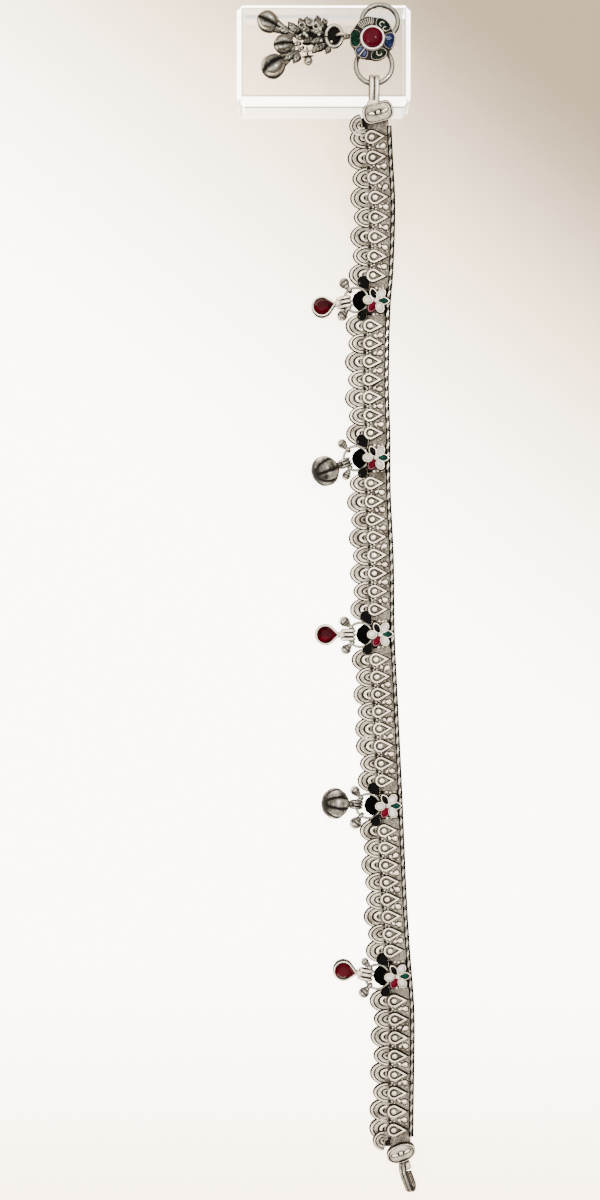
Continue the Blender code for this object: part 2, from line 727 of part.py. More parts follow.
def bell_drop(index, place, angle):
    start = LOOP_RADIUS + LOOP_WIRE - SINK
    middle = start + BELL_NECK_LENGTH + 0.51 * BELL_LENGTH
    frame = drop_frame(place, angle, BELL_RADIUS + LIFT, middle)
    body = turned(bell_profile(start), BELL_SIDES)
    shells = [moved(body, frame), moved(wire_loop(LOOP_RADIUS, LOOP_WIRE), frame)]
    piece(f"bell_{index + 1}", "polished_silver", shells, frame.translation)


def stations():
    for index, (place, drops) in enumerate(zip(station_places(), DROPS)):
        station(index, place)
        hanger_ring(index, place)
        if drops["main"] == "pear":
            pear_drop(index, place, drops["angle"])
        else:
            bell_drop(index, place, drops["angle"])
        for number, (angle, share) in enumerate(drops["small"], 1):
            small_bell(index, number, place, angle, share * SMALL_BELL_RADIUS)


# End caps


def cap_body():
    """A flat box with round corners, a raised edge and a plain round boss in its sunk face."""
    outline = []
    for corner, (sx, sy) in enumerate(((1, 1), (-1, 1), (-1, -1), (1, -1))):
        for k in range(3):
            turn = math.pi / 2 * (corner + k / 2)
            x = sx * (CAP_WIDTH / 2 - CAP_CORNER) + CAP_CORNER * math.cos(turn)
            y = sy * (CAP_HEIGHT / 2 - CAP_CORNER) + CAP_CORNER * math.sin(turn)
            outline.append((x, y))
    wide, tall = 1 - 2 * CAP_RIM / CAP_WIDTH, 1 - 2 * CAP_RIM / CAP_HEIGHT
    inset = [(x * wide, y * tall) for x, y in outline]
    face = CAP_THICK - CAP_RECESS
    loops = [
        flat_loop(outline, LIFT, 0.94),
        flat_loop(outline, CAP_THICK, 0.98),
        flat_loop(inset, CAP_THICK),
        flat_loop(inset, face, 0.98),
    ]
    boss = moved(ball(0.0, CAP_BOSS), Matrix.Translation((0, 0, face - SINK)))
    return [skin(loops), boss]


def upper_cap():
    """The clasp end's cap, with the folded double wire that holds the lower ring."""
    frame = on_band(0.0, CAP_SHIFT)
    tipped = frame @ Matrix.Rotation(math.radians(UPPER_CAP_TURN), 4, "Z")
    shells = [moved(shell, tipped) for shell in cap_body()]
    hold = Vector((LOWER_RING_X, LOWER_RING_Y - RING_RADIUS, RING_Z))
    root = frame @ Vector((0, 0.25 * CAP_HEIGHT, 0.55 * CAP_THICK))
    bend = RING_WIRE + GAP + BAIL_SLACK + BAIL_WIRE_FLAT
    turns = [math.pi / 2 - math.pi * k / 4 for k in range(5)]
    fold = [(hold.y + bend * math.cos(t), hold.z + bend * math.sin(t)) for t in turns]
    over = hold.lerp(root, 0.55)
    path = [(root.y, root.z + BAIL_FOOT_SPREAD), (over.y, over.z + 0.92 * bend), *fold]
    path += [(over.y, over.z - 0.95 * bend), (root.y, root.z - BAIL_FOOT_SPREAD)]
    for side in (-BAIL_SPREAD, BAIL_SPREAD):
        # Each wire lies in an upright plane at one side of the ring's lowest point
        wire = [(hold.x + side, y, z) for y, z in path]
        shells.append(tube(wire, BAIL_WIRE_FLAT, closed=True, across=BAIL_WIRE_WIDE))
    piece("end_cap_upper", "oxidised_silver", shells, frame.translation)


def lower_cap():
    """The free end's cap, with its stub and the open double-wire hook."""
    tip = Matrix.Rotation(math.radians(LOWER_CAP_TURN), 4, "Z")
    frame = on_band(BAND_LENGTH, CAP_SHIFT) @ tip
    shells = cap_body()
    root = -CAP_HEIGHT / 2
    side = STUB_WIDTH / 2
    low = 0.35 * CAP_THICK
    box = [(-side, low), (side, low), (side, CAP_THICK), (-side, CAP_THICK)]
    stub_end = root - STUB_LENGTH
    shells.append(skin([[Vector((x, y, z)) for x, z in box] for y in (root + STUB_ROOT, stub_end)]))
    end = HOOK_BEND + HOOK_WIRE - HOOK_REACH
    lean = math.radians(HOOK_LEAN)
    rise = LIFT + HOOK_WIRE + HOOK_BEND * math.cos(lean) + HOOK_SPREAD * math.sin(lean)
    turns = [math.pi / 2 + math.pi * k / 4 for k in range(5)]
    path = [(root, 0.6 * CAP_THICK - rise), (stub_end, HOOK_BEND)]
    path += [(end + HOOK_BEND * math.cos(t), HOOK_BEND * math.sin(t)) for t in turns]
    path += [(stub_end - HOOK_MOUTH, -HOOK_BEND)]
    place = Matrix.Translation((-0.5 * HOOK_BEND, 0, rise)) @ Matrix.Rotation(-lean, 4, "Y")
    for across in (-HOOK_SPREAD, HOOK_SPREAD):
        wire = tube([(across, y, z) for y, z in path], HOOK_WIRE)
        shells.append(moved(wire, place))
    shells = [moved(shell, frame) for shell in shells]
    piece("end_cap_lower", "oxidised_silver", shells, frame.translation)


# Clasp


def clasp_flower():
    """The flower with its bezel cup, the staple at its back and the side eye that holds the charm."""
    seat = Vector((FLOWER_X, FLOWER_Y, FLOWER_Z))
    bezel_top = 1 + BEZEL_RISE / FLOWER_THICK
    inner = BEZEL_RADIUS - BEZEL_WALL
    rows = [
        dict(share=0.94, high=0.0, low=0.0),
        dict(share=1.0, high=0.6, low=0.4),
        dict(share=0.94, high=1.0, low=0.6),
        dict(share=0.84, high=0.8, low=0.45),
        dict(round=BEZEL_RADIUS + BEZEL_COLLAR, high=0.75, low=0.45),
        dict(round=BEZEL_RADIUS, high=bezel_top, low=bezel_top),
        dict(round=inner, high=bezel_top, low=bezel_top),
        dict(round=inner, high=0.5, low=0.5),
    ]
    floor = Vector((0, 0, 0.5 * FLOWER_THICK))
    bloom = flower(FLOWER_RADIUS, FLOWER_THICK, 6, rows, floor, FLOWER_TURN, edge=20.0)
    room = RING_WIRE + GAP + STAPLE_SLACK + STAPLE_WIRE
    x = (UPPER_RING_X + LOWER_RING_X) / 2
    low = LOWER_RING_START - room
    high = UPPER_RING_START + room
    base = TOP + STAPLE_WIRE
    inside = FLOWER_Z + 0.2 * FLOWER_THICK
    bend = STAPLE_BEND
    staple = [
        (x, low, inside), (x, low, base + bend), (x, low + bend, base),
        (x, high - bend, base), (x, high, base + bend), (x, high, inside),
    ]
    eye_x = CHARM_RING_X + CHARM_RING_HALF_WIDTH
    eye = moved(wire_loop(EYE_RADIUS, EYE_WIRE), Matrix.Translation((eye_x, CHARM_RING_Y, CHARM_Z)))
    arm = [
        (eye_x + EYE_RADIUS, CHARM_RING_Y, CHARM_Z),
        (FLOWER_X - 0.85 * FLOWER_RADIUS, CHARM_RING_Y, FLOWER_Z + 0.3 * FLOWER_THICK),
    ]
    shells = [moved(bloom, Matrix.Translation(seat)), tube(staple, STAPLE_WIRE), eye]
    shells.append(tube(arm, ARM_WIRE))
    piece("clasp_flower", "oxidised_silver", shells, seat)


def clasp_stone():
    """The domed stone in the flower's bezel."""
    radius = BEZEL_RADIUS - BEZEL_WALL - GAP
    seat = Vector((FLOWER_X, FLOWER_Y, FLOWER_Z + 0.5 * FLOWER_THICK + GAP))
    wall = 0.5 * FLOWER_THICK + BEZEL_RISE - GAP
    outline = circle(radius, RING_SIDES)
    dome = [flat_loop(outline, 0.0)]
    for k in range(4):
        turn = math.pi / 2 * k / 4
        height = wall + (CABOCHON_RISE - wall) * math.sin(turn)
        dome.append(flat_loop(outline, height, math.cos(turn)))
    stone = moved(skin(dome, top=Vector((0, 0, CABOCHON_RISE))), Matrix.Translation(seat))
    piece("clasp_stone", "red_cabochon", [stone], seat)


def clasp_rings():
    """The two jump rings. The lower one lies level in the bail, the upper one leans on the block."""
    fall = RING_Z - (TOP + RING_WIRE)
    tilt = math.asin(fall / (2 * RING_RADIUS))
    hinge = Matrix.Translation((UPPER_RING_X, UPPER_RING_START, RING_Z)) @ Matrix.Rotation(-tilt, 4, "X")
    upper = moved(ring(RING_RADIUS, RING_WIRE), hinge @ Matrix.Translation((0, RING_RADIUS, 0)))
    piece("ring_upper", "polished_silver", [upper], hinge.translation)
    seat = Vector((LOWER_RING_X, LOWER_RING_Y, RING_Z))
    lower = moved(ring(RING_RADIUS, RING_WIRE), Matrix.Translation(seat))
    piece("ring_lower", "polished_silver", [lower], seat)


# Charm


def charm_head(seat, bar_centre):
    """The cast head on its oval ring, and the bar at its left that the bells hang on."""
    oval = ring(CHARM_RING_HALF_WIDTH, CHARM_RING_WIRE, tall=CHARM_RING_HALF_HEIGHT)
    shells = [moved(oval, Matrix.Translation(seat))]
    for lump in HEAD_LUMPS:
        sizes = [lump[key] * HEAD_SIZE for key in ("wide", "tall", "deep")]
        x, y = seat.x + lump["x"] * HEAD_SIZE, seat.y + lump["y"] * HEAD_SIZE
        turn = Matrix.Rotation(math.radians(lump["turn"]), 4, "Z")
        place = Matrix.Translation((x, y, TOP + sizes[2])) @ turn @ Matrix.Diagonal((*sizes, 1))
        shells.append(moved(ball(0.0, 1.0), place))
    turns = [math.radians(angle) for angle in range(90, 311, 27)]
    bar = [bar_centre + CHARM_BAR_RADIUS * Vector((math.cos(t), math.sin(t), 0)) for t in turns]
    root = 0.45 * CHARM_BAR_RADIUS
    bar = [bar[0] + Vector((root, root / 3, 0)), *bar, bar[-1] + Vector((root, root, 0))]
    shells.append(tube(bar, CHARM_BAR_WIRE))
    piece("charm_head", "oxidised_silver", shells, seat)


def charm_bell(bell, bar_centre):
    """One round bell with its neck and loop, lying on the block."""
    turn = math.radians(bell["angle"])
    radius = bell["radius"] * CHARM_BELL_RADIUS
    neck = bell["neck"] * CHARM_NECK_LENGTH
    hook = bar_centre + CHARM_BAR_RADIUS * Vector((math.cos(turn), math.sin(turn), 0))
    start = CHARM_LOOP_RADIUS + CHARM_LOOP_WIRE - SINK
    end = start + neck
    dip = math.asin((bar_centre.z - (TOP + radius)) / (end + radius))
    heading = Matrix.Rotation(math.radians(bell["heading"]), 4, "Z")
    frame = Matrix.Translation(hook) @ heading @ Matrix.Rotation(dip, 4, "Y")
    profile = [(start, 0), (start + LIFT, CHARM_NECK_RADIUS), (end, 1.15 * CHARM_NECK_RADIUS)]
    for along, wide in ((0.25, 0.7), (0.8, 1.0), (1.4, 0.88), (1.8, 0.45), (1.97, 0.0)):
        profile.append((end + radius * along, radius * wide))
    loop = wire_loop(CHARM_LOOP_RADIUS, CHARM_LOOP_WIRE)
    shells = [moved(turned(profile), frame), moved(loop, frame)]
    piece(bell["name"], "polished_silver", shells, hook)


def charm():
    seat = Vector((CHARM_RING_X, CHARM_RING_Y, CHARM_Z))
    bar_centre = seat - Vector((CHARM_BAR_LEFT, CHARM_BAR_BELOW, 0))
    charm_head(seat, bar_centre)
    for bell in CHARM_BELLS:
        charm_bell(bell, bar_centre)


# Display block


def display_block():
    """A clear rectangular block with its edges bevelled."""
    block = bmesh.new()
    bmesh.ops.create_cube(block, size=1.0)
    size = Matrix.Diagonal((BLOCK_WIDTH, BLOCK_DEPTH, BLOCK_HEIGHT, 1))
    block.transform(Matrix.Translation((0, 0, BLOCK_HEIGHT / 2)) @ size)
    mesh = bpy.data.meshes.new("acrylic_block")
    block.to_mesh(mesh)
    block.free()
    thing = bpy.data.objects.new("acrylic_block", mesh)
    bpy.context.scene.collection.objects.link(thing)
    thing.parent = anklet
    mesh.materials.append(finish("clear_acrylic"))
    edges = thing.modifiers.new("edges", "BEVEL")
    edges.width = BLOCK_BEVEL
    edges.segments = 1


for old in list(bpy.data.objects):
    bpy.data.objects.remove(old)
anklet = bpy.data.objects.new("payal_anklet", None)
bpy.context.scene.collection.objects.link(anklet)
SAMPLES = route_samples()

display_block()
clasp_flower()
clasp_stone()
clasp_rings()
charm()
upper_cap()
for number in range(len(SECTIONS)):
    band_section(number)
edge_chain()
stations()
lower_cap()
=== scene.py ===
# Looks of a payal anklet laid open, its clasp end on a clear display block.
import random
from math import acos, asin, atan2, copysign, cos, pi, radians, sin, sqrt

import bmesh
import bpy
from mathutils import Matrix, Vector


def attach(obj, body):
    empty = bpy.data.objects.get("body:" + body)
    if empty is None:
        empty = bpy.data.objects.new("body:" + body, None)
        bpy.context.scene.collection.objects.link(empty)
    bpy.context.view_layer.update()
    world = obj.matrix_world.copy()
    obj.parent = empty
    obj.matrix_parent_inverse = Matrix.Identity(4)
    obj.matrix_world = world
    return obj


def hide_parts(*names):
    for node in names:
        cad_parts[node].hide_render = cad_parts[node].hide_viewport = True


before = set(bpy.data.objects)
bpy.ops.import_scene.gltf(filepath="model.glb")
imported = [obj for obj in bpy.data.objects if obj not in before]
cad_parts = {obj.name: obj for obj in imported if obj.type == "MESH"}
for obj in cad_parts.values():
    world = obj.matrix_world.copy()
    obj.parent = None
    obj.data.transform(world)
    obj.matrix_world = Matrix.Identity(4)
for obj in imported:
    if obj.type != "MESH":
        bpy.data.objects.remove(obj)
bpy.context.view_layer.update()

MM = 0.001

# Sizes shared with the solids
GAP = 0.3 * MM
SINK = 0.15 * MM
LIFT = 0.02 * MM
BLOCK_WIDTH = 37.6 * MM
BLOCK_DEPTH = 21.2 * MM
BLOCK_HEIGHT = 11.0 * MM
BLOCK_BEVEL = 1.2 * MM
BAND_LENGTH = 230.7 * MM
SLOPE_RUN = 46.0 * MM
ROUTE_STEP = 0.5 * MM
ROUTE_SPARE = 12.0 * MM
CAP_OVERHANG = 2.4 * MM
BAND_ROUTE = [
    (0.0, 10.6), (9.2, 11.4), (18.1, 12.1), (31.6, 11.9), (38.1, 11.4), (47.0, 11.1),
    (58.2, 11.0), (67.6, 11.3), (80.6, 11.4), (96.2, 12.1), (112.6, 12.3), (129.8, 13.1),
    (150.8, 14.1), (170.0, 14.9), (183.5, 15.7), (197.0, 16.7), (208.0, 16.7), (222.8, 16.5),
    (240.0, 16.5),
]
STRIP_THICK = 0.7 * MM
STRIP_LEFT = 2.75 * MM
STRIP_RIGHT = 2.6 * MM
TEAR_WIDTH = 2.85 * MM
TEAR_POINT = 1.55 * MM
TEAR_RISE = 0.9 * MM
TEAR_SHIFT = 0.06 * MM
LEAF_ROOT = 2.25 * MM
LONG_LEAF_REACH = 5.95 * MM
LONG_LEAF_HEIGHT = 5.2 * MM
LONG_LEAF_TOP = 0.85 * MM
SHORT_LEAF_REACH = 5.25 * MM
SHORT_LEAF_HEIGHT = 4.3 * MM
SHORT_LEAF_TOP = 1.25 * MM
LEAF_THICK = 0.85 * MM
END_LEAF_PLACE = 2.5 * MM
END_LEAF_LIFT = 0.06 * MM
STATION_ROOM = 2.9 * MM
CAP_REACH = 5.0 * MM
PANEL_MARGIN = 0.5 * MM
SECTIONS = [
    dict(share=0.1743, leaves="slslslsl"),
    dict(share=0.1526, leaves="lslslsl"),
    dict(share=0.1708, leaves="slslslsl"),
    dict(share=0.1660, leaves="lslsllsl"),
    dict(share=0.1651, leaves="lslsslsl"),
    dict(share=0.1712, leaves="lslslsll"),
]
CHAIN_RADIUS = 0.5 * MM
CHAIN_PLAY = 0.05 * MM
PLATE_THICK = 0.4 * MM
PLATE_NECK = 1.5 * MM
PLATE_EDGE = [(-0.70, 0.93), (-1.26, 0.81), (-1.67, 0.46)]
PLATE_TIP = -1.81
STATION_SHIFT = 0.5 * MM
STATION_FLOWER_RADIUS = 3.0 * MM
STATION_FLOWER_RISE = 0.95 * MM
POST_RADIUS = 0.3 * MM
POST_INSET = 0.02 * MM
PEDESTAL_RADIUS = 1.0 * MM
HANGER_RADIUS = 2.7 * MM
HANGER_WIRE = 0.225 * MM
HANGER_SLACK = 0.1 * MM
LOOP_WIRE = 0.18 * MM
SMALL_BELL_RADIUS = 1.2 * MM
PEAR_BAIL_WIDTH = 1.3 * MM
PEAR_BAIL_THICK = 0.3 * MM
PEAR_BAIL_SLACK = 0.07 * MM
PEAR_NECK_LENGTH = 0.95 * MM
PEAR_NECK_RADIUS = 0.4 * MM
PEAR_WIDTH = 4.7 * MM
PEAR_POINT = 1.05 * MM
PEAR_DEPTH = 1.9 * MM
PEAR_WALL = 0.5 * MM
PEAR_FLOOR = 0.5 * MM
STONE_RISE = 0.5 * MM
BELL_LENGTH = 6.1 * MM
BELL_RADIUS = 3.4 * MM
BELL_NECK_LENGTH = 1.7 * MM
BELL_NECK_RADIUS = 0.5 * MM
DROPS = [
    dict(main="pear", angle=195.0, small=((129.0, 1.0), (232.0, 1.0))),
    dict(main="bell", angle=204.0, small=((133.0, 0.88), (241.0, 0.83))),
    dict(main="pear", angle=178.0, small=((138.0, 1.0), (224.0, 0.96))),
    dict(main="bell", angle=170.0, small=((128.0, 0.92), (230.0, 1.12))),
    dict(main="pear", angle=164.0, small=((125.0, 0.75), (224.0, 1.0))),
]
CAP_WIDTH = 6.5 * MM
CAP_HEIGHT = 3.9 * MM
CAP_THICK = 2.1 * MM
CAP_CORNER = 1.5 * MM
CAP_RIM = 0.4 * MM
CAP_RECESS = 0.25 * MM
CAP_SHIFT = 0.95 * MM
UPPER_CAP_TURN = 8.5
LOWER_CAP_TURN = 20.0
RING_RADIUS = 3.87 * MM
RING_WIRE = 0.525 * MM
UPPER_RING_X = 12.0 * MM
UPPER_RING_START = 2.09 * MM
LOWER_RING_X = 10.72 * MM
LOWER_RING_START = 0.05 * MM
STAPLE_WIRE = 0.4 * MM
STAPLE_BEND = 0.35 * MM
STAPLE_SLACK = 0.12 * MM
FLOWER_X = 10.27 * MM
FLOWER_Y = 1.12 * MM
FLOWER_RADIUS = 4.75 * MM
FLOWER_THICK = 1.2 * MM
BEZEL_RADIUS = 2.62 * MM
BEZEL_WALL = 0.38 * MM
BEZEL_RISE = 0.4 * MM
CABOCHON_RISE = 2.0 * MM
BAIL_WIRE_WIDE = 0.62 * MM
BAIL_WIRE_FLAT = 0.42 * MM
BAIL_SPREAD = 0.57 * MM
BAIL_SLACK = 0.15 * MM
BAIL_FOOT_SPREAD = 0.25 * MM
HOOK_WIRE = 0.45 * MM
HOOK_SPREAD = 0.42 * MM
HOOK_REACH = 8.9 * MM
HOOK_MOUTH = 1.0 * MM
HOOK_BEND = 1.05 * MM
HOOK_LEAN = 28.0
STUB_WIDTH = 2.3 * MM
STUB_LENGTH = 1.9 * MM
STUB_ROOT = 0.6 * MM
CHARM_RING_X = 2.2 * MM
CHARM_RING_Y = 2.65 * MM
CHARM_RING_HALF_WIDTH = 1.75 * MM
CHARM_RING_HALF_HEIGHT = 2.3 * MM
CHARM_RING_WIRE = 0.42 * MM
EYE_RADIUS = 1.15 * MM
EYE_WIRE = 0.33 * MM
ARM_WIRE = 0.4 * MM
CHARM_LOOP_RADIUS = 0.78 * MM
CHARM_LOOP_WIRE = 0.2 * MM
CHARM_BAR_LEFT = 5.95 * MM
CHARM_BAR_BELOW = 1.25 * MM
CHARM_BAR_RADIUS = 2.0 * MM
CHARM_BAR_WIRE = 0.22 * MM
CHARM_BELL_RADIUS = 2.3 * MM
CHARM_NECK_LENGTH = 4.3 * MM
CHARM_NECK_RADIUS = 0.36 * MM
CHARM_BELLS = [
    dict(name="charm_bell_upper", angle=152.0, heading=155.0, radius=1.0, neck=1.0),
    dict(name="charm_bell_middle", angle=192.0, heading=188.0, radius=0.89, neck=0.09),
    dict(name="charm_bell_lower", angle=232.0, heading=215.0, radius=1.09, neck=0.98),
    dict(name="charm_bead", angle=276.0, heading=276.0, radius=0.41, neck=0.05),
]

# Places and sizes that follow from those above
WALL_TOP = 0.7 * BLOCK_HEIGHT
TOP = BLOCK_HEIGHT + GAP
RING_Z = TOP + 2 * max(STAPLE_WIRE, BAIL_WIRE_FLAT) + GAP + BAIL_SLACK + RING_WIRE
FLOWER_Z = RING_Z + RING_WIRE + GAP
HANGER_Z = PLATE_THICK + GAP + HANGER_WIRE
STATION_FLOWER_Z = HANGER_Z + HANGER_WIRE + GAP
LOOP_RADIUS = HANGER_WIRE + GAP + LOOP_WIRE
PEAR_BAIL_RADIUS = HANGER_WIRE + GAP + PEAR_BAIL_THICK / 2 + PEAR_BAIL_SLACK
PEAR_LENGTH = PEAR_WIDTH + PEAR_POINT
LOWER_RING_Y = LOWER_RING_START - RING_RADIUS
STATION_REACH = HANGER_RADIUS + STATION_ROOM
END_LEAF_ROOT = CAP_WIDTH / 2 - CAP_SHIFT + 2 * GAP
CHAIN_OFFSET = STRIP_RIGHT + GAP + CHAIN_PLAY + CHAIN_RADIUS
CHARM_Z = TOP + 2 * EYE_WIRE + GAP + CHARM_RING_WIRE

# Camera straight over the anklet, and the light of the floor and of the room above
CAMERA_X = -5.12 * MM
CAMERA_Y = -118.2 * MM
CAMERA_Z = 280.0 * MM
FRAME_HEIGHT = 269.4 * MM
FILM_WIDTH = 36.0
FLOOR_HALF = 1.2
FLOOR_GLOW = 8.5
CEILING = 3.5


# The band's route


def route_x(run):
    rows = [(a * MM, b * MM) for a, b in BAND_ROUTE]
    i = max(1, min(len(rows) - 1, sum(1 for a, _ in rows if a <= run)))
    slopes = []
    for k in (i - 1, i):
        low, high = rows[max(k - 1, 0)], rows[min(k + 1, len(rows) - 1)]
        slopes.append((high[1] - low[1]) / (high[0] - low[0]))
    (a, xa), (b, xb) = rows[i - 1], rows[i]
    step = b - a
    u = min((run - a) / step, 1.0)
    hermite = (2 * u**3 - 3 * u**2 + 1, u**3 - 2 * u**2 + u, 3 * u**2 - 2 * u**3, u**3 - u**2)
    return hermite[0] * xa + hermite[1] * step * slopes[0] + hermite[2] * xb + hermite[3] * step * slopes[1]


def route_z(run):
    bend = (SLOPE_RUN**2 + TOP**2) / (2 * TOP)
    left = max(0.0, SLOPE_RUN - run)
    return bend - sqrt(bend**2 - left**2)


def route_samples():
    start_y = -BLOCK_DEPTH / 2 - CAP_OVERHANG
    found = []
    length = 0.0
    while length < BAND_LENGTH + ROUTE_SPARE:
        run = len(found) * ROUTE_STEP
        point = Vector((route_x(run), start_y - run, route_z(run)))
        if found:
            length += (point - found[-1][1]).length
        found.append((length, point))
    return found


def on_band(distance, aside=0.0, up=0.0):
    """The frame at a distance from the upper cap: local X is across, Y back up the band, Z out of it."""
    i = min(max(1, sum(1 for length, _ in SAMPLES if length <= distance)), len(SAMPLES) - 1)
    (la, a), (lb, b) = SAMPLES[i - 1], SAMPLES[i]
    point = a.lerp(b, (distance - la) / (lb - la))
    low, high = SAMPLES[max(i - 6, 0)][1], SAMPLES[min(i + 5, len(SAMPLES) - 1)][1]
    back = (low - high).normalized()
    side = back.cross(Vector((0, 0, 1))).normalized()
    out = side.cross(back)
    place = Matrix((side, back, out)).transposed().to_4x4()
    place.translation = point
    return place @ Matrix.Translation((aside, 0.0, up))


def station_places():
    places = []
    along = 0.0
    for section in SECTIONS[:-1]:
        along += section["share"] * BAND_LENGTH
        places.append(along)
    return places


def section_ends(index):
    bounds = [0.0, *station_places(), BAND_LENGTH]
    before = CAP_REACH if index == 0 else STATION_REACH
    after = CAP_REACH if index == len(SECTIONS) - 1 else STATION_REACH
    return bounds[index] + before, bounds[index + 1] - after


def hanger_centre():
    post = STATION_SHIFT - STATION_FLOWER_RADIUS + POST_RADIUS + POST_INSET
    wire = post + POST_RADIUS + GAP + HANGER_SLACK + HANGER_WIRE
    return post, wire - HANGER_RADIUS


def drop_frame(place, angle, rest, reach):
    """The frame of a drop: its loop at the origin, its body along local X down to the surface."""
    turn = radians(angle)
    across = hanger_centre()[1] + HANGER_RADIUS * cos(turn)
    hook = on_band(place) @ Vector((across, HANGER_RADIUS * sin(turn), HANGER_Z))
    away = on_band(place).to_3x3() @ Vector((cos(turn), sin(turn), 0.0))
    dip = asin(max(-1.0, min(1.0, (hook.z - rest) / reach)))
    spin = Matrix.Rotation(atan2(away.y, away.x), 4, "Z")
    return Matrix.Translation(hook) @ spin @ Matrix.Rotation(dip, 4, "Y")


# Finishes: shader groups used by several of them, then one material each


def noise(tree, vector, scale, detail=3.0, roughness=0.55):
    node = tree.nodes.new("ShaderNodeTexNoise")
    node.inputs["Scale"].default_value = scale
    node.inputs["Detail"].default_value = detail
    node.inputs["Roughness"].default_value = roughness
    tree.links.new(vector, node.inputs["Vector"])
    return node.outputs["Fac"]


def spread(tree, value, low, high, to_low=0.0, to_high=1.0):
    node = tree.nodes.new("ShaderNodeMapRange")
    tree.links.new(value, node.inputs["Value"])
    for name, number in (("From Min", low), ("From Max", high), ("To Min", to_low), ("To Max", to_high)):
        node.inputs[name].default_value = number
    return node.outputs["Result"]


def reckon(tree, a, b, kind="ADD"):
    """The outcome of a sum. Each term is a socket or a number."""
    node = tree.nodes.new("ShaderNodeMath")
    node.operation = kind
    for value, socket in zip((a, b), node.inputs):
        if isinstance(value, (int, float)):
            socket.default_value = value
        else:
            tree.links.new(value, socket)
    return node.outputs["Value"]


def blended(tree, share, a, b):
    """Two colours mixed by a share. A colour is a socket or a tuple."""
    node = tree.nodes.new("ShaderNodeMix")
    node.data_type = "RGBA"
    tree.links.new(share, node.inputs["Factor"])
    for value, socket in ((a, node.inputs["A"]), (b, node.inputs["B"])):
        socket = [s for s in node.inputs if s.name == socket.name and s.type == "RGBA"][0]
        if isinstance(value, tuple):
            socket.default_value = (*value, 1.0)
        else:
            tree.links.new(value, socket)
    return [s for s in node.outputs if s.type == "RGBA"][0]


COLOUR = "NodeSocketColor"
NUMBER = "NodeSocketFloat"


def group(name, takes, gives):
    """An empty shader group with named sockets, and its inner sockets. A tuple stands for a colour."""
    tree = bpy.data.node_groups.new(name, "ShaderNodeTree")
    for label, value in takes.items():
        kind = COLOUR if isinstance(value, tuple) else NUMBER
        socket = tree.interface.new_socket(label, in_out="INPUT", socket_type=kind)
        socket.default_value = (*value, 1.0) if kind == COLOUR else value
    for label, kind in gives.items():
        tree.interface.new_socket(label, in_out="OUTPUT", socket_type=kind)
    return tree, tree.nodes.new("NodeGroupInput").outputs, tree.nodes.new("NodeGroupOutput").inputs


def spot_on(tree):
    return tree.nodes.new("ShaderNodeTexCoord").outputs["Object"]


def parts_of(tree, vector):
    """The X, Y and Z of a vector."""
    node = tree.nodes.new("ShaderNodeSeparateXYZ")
    tree.links.new(vector, node.inputs["Vector"])
    return node.outputs


def patina_and_shade_depth(tree):
    patina_and_shade = tree.nodes.new("ShaderNodeAttribute")
    patina_and_shade.attribute_name = "patina_and_shade"
    return patina_and_shade.outputs["Fac"]


def patina_group():
    """Silver that is light where it's rubbed and dark in its creases, on wire sides and on steep sides, which
    is partly patina in its hollows and partly painted shade, with cloudy tarnish between.
    """
    tree, takes, gives = group(
        "patina in the creases",
        {
            "Rubbed Colour": (0.8, 0.78, 0.72), "Crease Colour": (0.05, 0.04, 0.03),
            "Cloud Colour": (0.5, 0.47, 0.42), "Crease Strength": 1.0, "Cloud Strength": 0.35,
            "Rubbed Roughness": 0.35, "Crease Roughness": 0.6,
        },
        {"Colour": COLOUR, "Roughness": NUMBER, "Rubbed": NUMBER},
    )
    where = spot_on(tree)
    patina_and_shade = patina_and_shade_depth(tree)
    ragged = spread(tree, noise(tree, where, 2600.0), 0.3, 0.7, -0.16, 0.16)
    depth = reckon(tree, patina_and_shade, ragged)
    depth = reckon(tree, spread(tree, depth, 0.1, 0.8), 0.65, "POWER")
    depth = reckon(tree, depth, takes["Crease Strength"], "MULTIPLY")
    cloud = spread(tree, noise(tree, where, 420.0, 5.0), 0.42, 0.66)
    cloud = reckon(tree, cloud, takes["Cloud Strength"], "MULTIPLY")
    cloud = reckon(tree, cloud, spread(tree, patina_and_shade, 0.05, 0.3, 0.4, 1.3), "MULTIPLY")
    colour = blended(tree, cloud, takes["Rubbed Colour"], takes["Cloud Colour"])
    # Patina and painted shade: the colour darkens with each point's baked depth
    colour = blended(tree, depth, colour, takes["Crease Colour"])
    tree.links.new(colour, gives["Colour"])
    span = reckon(tree, takes["Crease Roughness"], takes["Rubbed Roughness"], "SUBTRACT")
    haze = reckon(tree, reckon(tree, depth, cloud, "MAXIMUM"), span, "MULTIPLY")
    tree.links.new(reckon(tree, haze, takes["Rubbed Roughness"]), gives["Roughness"])
    tree.links.new(reckon(tree, 1.0, depth, "SUBTRACT"), gives["Rubbed"])
    return tree


def cast_skin_group():
    """The fine uneven skin of a casting, as a height: pits and soft lumps."""
    sizes = {"Pit Size": 5200.0, "Pit Depth": 0.5, "Lump Depth": 0.5}
    tree, takes, gives = group("cast skin", sizes, {"Height": NUMBER})
    where = spot_on(tree)
    pits = tree.nodes.new("ShaderNodeTexVoronoi")
    tree.links.new(where, pits.inputs["Vector"])
    tree.links.new(takes["Pit Size"], pits.inputs["Scale"])
    pit = spread(tree, pits.outputs["Distance"], 0.0, 0.6)
    pit = reckon(tree, pit, takes["Pit Depth"], "MULTIPLY")
    lump = reckon(tree, noise(tree, where, 1100.0, 4.0), takes["Lump Depth"], "MULTIPLY")
    tree.links.new(reckon(tree, pit, lump), gives["Height"])
    return tree


